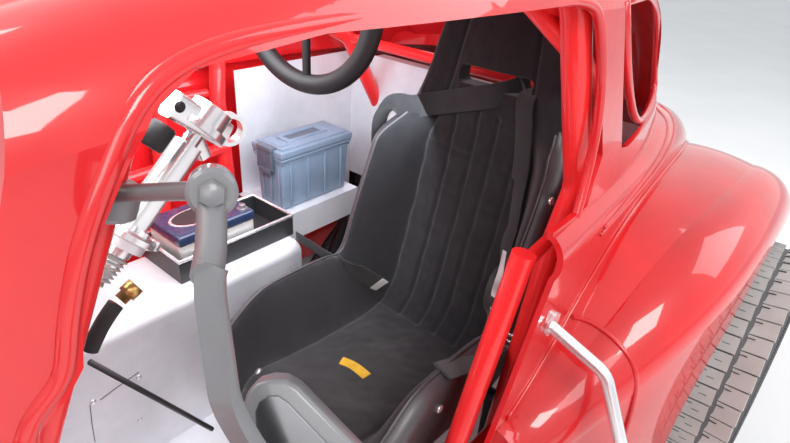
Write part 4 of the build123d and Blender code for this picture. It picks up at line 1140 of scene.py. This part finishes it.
class COUPE_OT_tyres(bpy.types.Operator):
    """Builds the treaded tyres with grooves, dark plates of painted shade for the sipes, shoulder ribs and
    sidewall rings
    """

    bl_idname = "coupe.tyres"
    bl_label = "Tyres"

    def execute(self, context):
        sizes = context.scene.coupe_sizes
        for name in ("front_left", "front_right", "rear_left", "rear_right"):
            node = "tyre_" + name
            low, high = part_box(node)
            middle, half = (low + high) / 2, (high - low) / 2
            parts = [self.carcass(middle, half.x, half.y, sizes.tread_depth)]
            parts += self.tread(middle, half.x, half.y, sizes.tread_depth, sizes.tread_pitches)
            tyre = joined(f"tread_{name}", parts)
            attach(tyre, f"wheel_{name}")
            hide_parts(node)
        return {"FINISHED"}

    def carcass(self, middle, radius, half, depth):
        """The plain tyre under the tread, from bead to bead."""
        bead = 0.168
        side = (
            # across (share of half width), radius
            (0.62, bead), (0.78, bead + 0.012), (0.86, bead + 0.02), (0.885, bead + 0.026),
            (0.93, bead + 0.04), (0.95, bead + 0.042), (0.985, bead + 0.062), (1.0, bead + 0.074),
            (0.997, radius - 0.036), (0.965, radius - 0.032), (0.955, radius - 0.026),
            (0.93, radius - 0.018), (0.80, radius - depth - 0.003),
        )
        profile = [(-a, r) for a, r in side] + [(0.0, radius - depth)] + [(a, r) for a, r in reversed(side)]
        rows, steps = [], 120
        for k in range(steps):
            angle = 2 * math.pi * k / steps
            rows.append([middle + Vector((r * math.cos(angle), across * half, r * math.sin(angle)))
                         for across, r in profile])
        piece = outward(skin_grid("carcass", rows, wrap=True, ring=True))
        piece.data.materials.append(FINISHES["tyre_rubber"])
        for polygon in piece.data.polygons:
            polygon.use_smooth = True
        return piece

    def tread(self, middle, radius, half, depth, pitches):
        """Four rows of blocks, dark plates of painted shade for their slits, and the ribs on both shoulders.
        """
        turn = 2 * math.pi / pitches
        gap, root, slope = 0.0035, 0.003, 0.06
        length = radius * turn - gap
        rows = (
            # across, width (shares of half), drop of the crown, lean, phase (share of a pitch)
            (-0.70, 0.40, 0.0050, 0.16, 0.0), (-0.235, 0.42, 0.0008, 0.03, 0.4),
            (0.235, 0.42, 0.0008, -0.03, 0.1), (0.70, 0.40, 0.0050, -0.16, 0.6),
        )
        parts = []
        for across, width, drop, lean, phase in rows:
            reach = radius - drop - (depth + root) / 2 - 0.0012
            # Blocks in pale rubber, partly dust and partly painted sunlight
            parts.append(row_of("blocks", "tread_rubber", Count=pitches, Turn=turn, Phase=phase * turn,
                                Size=(depth + root, width * half, length), Place=(reach, across * half, 0),
                                Tilt=(math.copysign(slope, across), 0, lean)))
            # Shift along a pitch, breadth, and place across the row of each slit; each slit is a thin dark
            # plate on the block's top, painted shade where a sipe would be cut
            for shift, slit, part in ((0.2, 0.0012, 0.5), (-0.25, 0.0012, -0.5), (0.02, 0.001, 0.1)):
                place = (reach + depth / 2 + 0.0009, (across + part * 0.62 * width) * half, 0)
                parts.append(row_of("slits", "groove_rubber", Count=pitches, Turn=turn,
                                    Phase=(phase + shift) * turn, Size=(0.002, 0.30 * width * half, slit),
                                    Place=place, Tilt=(slope, 0, lean)))
        ribs = 5 * pitches
        for side in (-1, 1):
            parts.append(row_of("ribs", "tyre_rubber", Count=ribs, Turn=2 * math.pi / ribs, Phase=0.0,
                                Size=(0.009, 0.004, 0.0035), Place=(radius - 0.026, side * 0.955 * half, 0),
                                Tilt=(0, 0, 0)))
        for part in parts:
            part.data.transform(Matrix.Translation(middle))
        return parts


# Body trims


def side_hit(tree, x, z, way):
    """Where a line from outside the left or right side meets a surface, as y, or None."""
    start = spot(x, way * 1000, z)
    place, _, _, _ = tree.ray_cast(start, Vector((0, -way, 0)))
    if place is None:
        return None
    return (place.y - SHIFT.y) * 1000


# Nearest to the middle that a point on the body's side lies, in mm
SIDE_LEAST = 300


def on_side(tree, run, way, out):
    """Points of the drawing frame where a run of x and z meets one side, moved outwards in mm."""
    points = []
    for x, z in run:
        y = side_hit(tree, x, z, way)
        if y is not None and abs(y) > SIDE_LEAST:
            points.append((x, y + way * out, z))
    return points


# Pixels of the photograph along the raised edge of the near rear fender
FENDER_EDGE_PIXELS = (
    (572, 317), (584, 319), (598, 326), (613, 338), (627, 353), (636, 370), (636, 390), (631, 412),
    (624, 434), (618, 452),
)
# Start, end and steps of the welt of each fender
WELT_RUNS = {"rear": (-290, -1370, 26), "front": (440, 1000, 16)}
# The double moulding: where it starts and bends, its height, the gap of its beads and its steps
MOULDING_START, MOULDING_BEND, MOULDING_HEIGHT, MOULDING_GAP = -446, -900, 727, 13
MOULDING_STEP, MOULDING_STEPS = 44, 15


class COUPE_OT_trims(bpy.types.Operator):
    """Adds the fender welting, the double belt moulding, opening lips and the raised fender edge"""

    bl_idname = "coupe.trims"
    bl_label = "Body trims"

    def execute(self, context):
        body = ray_tree("body_shell")
        parts = []
        for way, side in ((1, "left"), (-1, "right")):
            for end, spans in WELT_RUNS.items():
                points = self.welt(body, ray_tree(f"fender_{end}_{side}"), way, *spans)
                if len(points) > 3:
                    parts.append(pipe("welt", points, 3.6, resolution=3))
            for rise in (0, MOULDING_GAP):
                parts.append(pipe("moulding", self.moulding(body, way, rise), 3.4, resolution=3))
        edge = seen_line(ray_tree("fender_rear_left", "body_shell"), FENDER_EDGE_PIXELS, 1.5)
        if len(edge) > 3:
            parts.append(pipe("edge", edge, 4.0, resolution=4))
            parts.append(pipe("edge_right", [(x, -y, z) for x, y, z in edge], 4.0, resolution=4))
        settle(joined("body_beads", parts), "body_paint")
        self.lips(body)
        return {"FINISHED"}

    def moulding(self, body, way, rise):
        """A line along the belt of the body, straight and then falling towards the tail."""
        run = []
        for k in range(MOULDING_STEPS):
            x = MOULDING_START - MOULDING_STEP * k
            fall = 0.00012 * max(0.0, MOULDING_BEND - x) ** 2
            run.append((x, MOULDING_HEIGHT + rise + 0.075 * (MOULDING_START + 10 - x) - fall))
        return on_side(body, run, way, 0.5)

    def welt(self, body, fender, way, start, end, count):
        """The line where a fender leaves the body, from rays at each station."""
        points = []
        for k in range(count + 1):
            x = start + (end - start) * k / count
            found = None
            for z in range(800, 200, -4):
                on_body = side_hit(body, x, z, way)
                on_fender = side_hit(fender, x, z, way)
                if on_fender is None:
                    continue
                if on_body is None or abs(on_fender) > abs(on_body) + 1.0:
                    if on_body is not None:
                        found = (x, on_body + way * 1.5, z + 3)
                    break
            if found:
                points.append(found)
        return points

    def lips(self, body):
        """Rounded returns along the door and window openings, on the skin."""
        parts = []
        for way in (1, -1):
            for run in (DOOR_LIP if way == 1 else WINDOW_LIP, QUARTER_LIP):
                parts.append(pipe("lip", on_side(body, run, way, -2.5), 6.5, resolution=5))
        settle(joined("opening_lips", parts), "body_paint")


# Properties


class CoupeSizes(bpy.types.PropertyGroup):
    """Sizes a user may change."""

    belt_width: bpy.props.FloatProperty(
        name="Belt width", description="Width of the shoulder belts",
        default=0.046, min=0.03, max=0.08, unit="LENGTH")
    tread_depth: bpy.props.FloatProperty(
        name="Tread depth", description="Depth of the tyre grooves",
        default=0.007, min=0.002, max=0.012, unit="LENGTH")
    tread_pitches: bpy.props.IntProperty(
        name="Tread pitches", description="Tread blocks round each tyre", default=52, min=30, max=90)


def colour_setting(name, description, default):
    return bpy.props.FloatVectorProperty(
        name=name, description=description, subtype="COLOR", size=3, default=default, min=0, max=1)


class CoupeColours(bpy.types.PropertyGroup):
    """Colours a user may change."""

    body: colour_setting("Body", "Body paint", (0.66, 0.010, 0.014))
    cage: colour_setting("Cage", "Paint of the cage tubes", (0.90, 0.026, 0.028))
    floor: colour_setting("Floor", "Studio floor", (0.80, 0.80, 0.79))


# Operators


class COUPE_OT_finishes(bpy.types.Operator):
    """Makes the finishes and gives them to the nodes that keep their shape"""

    bl_idname = "coupe.finishes"
    bl_label = "Finishes"

    def execute(self, context):
        colours = context.scene.coupe_colours
        make_finishes(tuple(colours.body), tuple(colours.cage))
        nodes = {
            "body_paint": ["body_shell", "door_left", "door_right", "hood", "deck_lid", "fender_front_left",
                           "fender_front_right", "fender_rear_left", "fender_rear_right"],
            "cage_paint": ["roll_cage", "jamb_posts"],
            "black_paint": ["chassis_frame", "front_arms", "rear_axle", "pedals"],
            "sheet_alloy": ["floor_pan", "inner_panels", "center_tunnel", "fuel_cell", "dash_panel"],
            "bright_steel": ["bumper_front", "bumper_rear", "side_bar_left", "side_bar_right", "grille",
                             "steering_shaft", "exhaust"],
            "dull_steel": ["knuckle_left", "knuckle_right", "steering_rack", "link_shaft"],
            "cast_alloy": ["engine"],
            "black_plastic": ["battery_tray", "seat_shell"],
            "mirror_plastic": ["side_mirror"],
            "grip_rubber": ["steering_wheel"],
            "case_plastic": ["storage_box"],
            "battery_plastic": ["battery"],
            "seat_cloth": ["seat_cover"],
            "chrome": ["headlamps"],
            "red_lens": ["tail_lamps"],
            "glass": ["windscreen"],
            "wheel_paint": ["rim_front_left", "rim_front_right", "rim_rear_left", "rim_rear_right"],
            "tyre_rubber": ["tyre_front_left", "tyre_front_right", "tyre_rear_left", "tyre_rear_right"],
        }
        for finish, names in nodes.items():
            for name in names:
                dress_node(name, finish)
        return {"FINISHED"}


# Place and aim of each soft light in metres, its size, power and colour
LIGHTS = (
    ((1.6, -2.2, 4.2), (-0.4, 0.1, 0.6), 2.2, 120, (1.0, 0.97, 0.93)),
    ((-2.6, 2.6, 3.4), (-0.4, 0.1, 0.6), 2.6, 70, (0.95, 0.97, 1.0)),
    ((2.8, 2.4, 2.2), (0.0, 0.2, 0.7), 1.8, 40, (1.0, 1.0, 1.0)),
    ((1.2, 2.4, 3.0), (-0.3, 0.0, 0.6), 1.2, 60, (1.0, 0.98, 0.95)),
    ((0.05, -0.15, 1.10), (-0.25, -0.25, 0.3), 0.45, 6, (0.93, 0.96, 1.0)),
    ((-0.25, -0.18, 0.92), (-0.25, -0.5, 0.72), 0.45, 4.5, (0.85, 0.92, 1.0)),
)


class COUPE_OT_stage(bpy.types.Operator):
    """Makes the floor, the backdrop, the lights and the camera"""

    bl_idname = "coupe.stage"
    bl_label = "Stage"

    def execute(self, context):
        scene = context.scene
        reach = 30
        corners = [(-reach, -reach, 0), (reach, -reach, 0), (reach, reach, 0), (-reach, reach, 0)]
        floor = mesh_piece("studio_floor", corners, [(0, 1, 2, 3)])
        f = Finish("studio_floor")
        f.set(Roughness=0.9)
        f.colour(f.ramp(f.noise(2.0), [(0.3, tuple(scene.coupe_colours.floor)), (0.7, (0.84, 0.84, 0.83))]))
        floor.data.materials.append(f.material)
        scene.world = self.backdrop()
        for index, (place, aim, size, power, colour) in enumerate(LIGHTS):
            data = bpy.data.lights.new(f"soft_{index}", "AREA")
            data.size, data.energy, data.color = size, power, colour
            lamp = shown(f"soft_{index}", data)
            lamp.location = place
            lamp.visible_camera = False
            lamp.rotation_euler = (Vector(aim) - Vector(place)).to_track_quat("-Z", "Y").to_euler()
        self.camera(scene)
        return {"FINISHED"}

    def backdrop(self):
        """Soft sky light, and plain white where the camera, a mirror or glass looks at it."""
        world = bpy.data.worlds.new("studio")
        world.use_nodes = True
        nodes, link = world.node_tree.nodes, world.node_tree.links.new
        sky, white = nodes["Background"], nodes.new("ShaderNodeBackground")
        mix = nodes.new("ShaderNodeMixShader")
        sky.inputs["Color"].default_value = (0.90, 0.94, 1.0, 1)
        sky.inputs["Strength"].default_value = 0.75
        white.inputs["Color"].default_value = (1, 1, 1, 1)
        rays = nodes.new("ShaderNodeLightPath").outputs
        seen = None
        for name in ("Is Camera Ray", "Is Glossy Ray", "Is Transmission Ray"):
            if seen is None:
                seen = rays[name]
                continue
            either = nodes.new("ShaderNodeMath")
            either.operation = "MAXIMUM"
            link(seen, either.inputs[0])
            link(rays[name], either.inputs[1])
            seen = either.outputs[0]
        link(seen, mix.inputs["Fac"])
        link(sky.outputs[0], mix.inputs[1])
        link(white.outputs[0], mix.inputs[2])
        link(mix.outputs[0], nodes["World Output"].inputs["Surface"])
        return world

    def camera(self, scene):
        """The camera at the photograph's angle."""
        ahead = (CAMERA_AIM - CAMERA_EYE).normalized()
        right = ahead.cross(Vector((0, 0, 1))).normalized()
        up = right.cross(ahead)
        tilted_right = right * math.cos(CAMERA_ROLL) + up * math.sin(CAMERA_ROLL)
        tilted_up = up * math.cos(CAMERA_ROLL) - right * math.sin(CAMERA_ROLL)
        data = bpy.data.cameras.new("photo_view")
        data.sensor_width, data.sensor_fit = SENSOR, "HORIZONTAL"
        data.lens = FOCAL_PIXELS / PHOTO_WIDTH * SENSOR
        data.clip_start = 0.01
        camera = shown("photo_view", data)
        camera.matrix_world = Matrix.Translation(spot(*CAMERA_EYE)) @ Matrix(
            (tilted_right, tilted_up, -ahead)).transposed().to_4x4()
        scene.camera = camera
        scene.view_settings.view_transform = "Standard"


class COUPE_PT_panel(bpy.types.Panel):
    """Lists the pieces and their settings"""

    bl_label = "Racing Coupe"
    bl_idname = "COUPE_PT_panel"
    bl_space_type = "VIEW_3D"
    bl_region_type = "UI"
    bl_category = "Coupe"

    def draw(self, context):
        for group in (context.scene.coupe_sizes, context.scene.coupe_colours):
            for key in group.bl_rna.properties.keys():
                if key not in ("rna_type", "name"):
                    self.layout.prop(group, key)
        for operator in OPERATORS:
            self.layout.operator(operator.bl_idname)


OPERATORS = (
    COUPE_OT_stage, COUPE_OT_finishes, COUPE_OT_seat, COUPE_OT_belts, COUPE_OT_battery, COUPE_OT_storage,
    COUPE_OT_column, COUPE_OT_mirror, COUPE_OT_tyres, COUPE_OT_trims,
)
CLASSES = (CoupeSizes, CoupeColours, *OPERATORS, COUPE_PT_panel)


def register():
    for item in CLASSES:
        bpy.utils.register_class(item)
    bpy.types.Scene.coupe_sizes = bpy.props.PointerProperty(type=CoupeSizes)
    bpy.types.Scene.coupe_colours = bpy.props.PointerProperty(type=CoupeColours)


def unregister():
    del bpy.types.Scene.coupe_sizes
    del bpy.types.Scene.coupe_colours
    for item in reversed(CLASSES):
        bpy.utils.unregister_class(item)


def main():
    register()
    for operator in OPERATORS:
        group, name = operator.bl_idname.split(".")
        getattr(getattr(bpy.ops, group), name)()


if __name__ == "__main__":
    main()
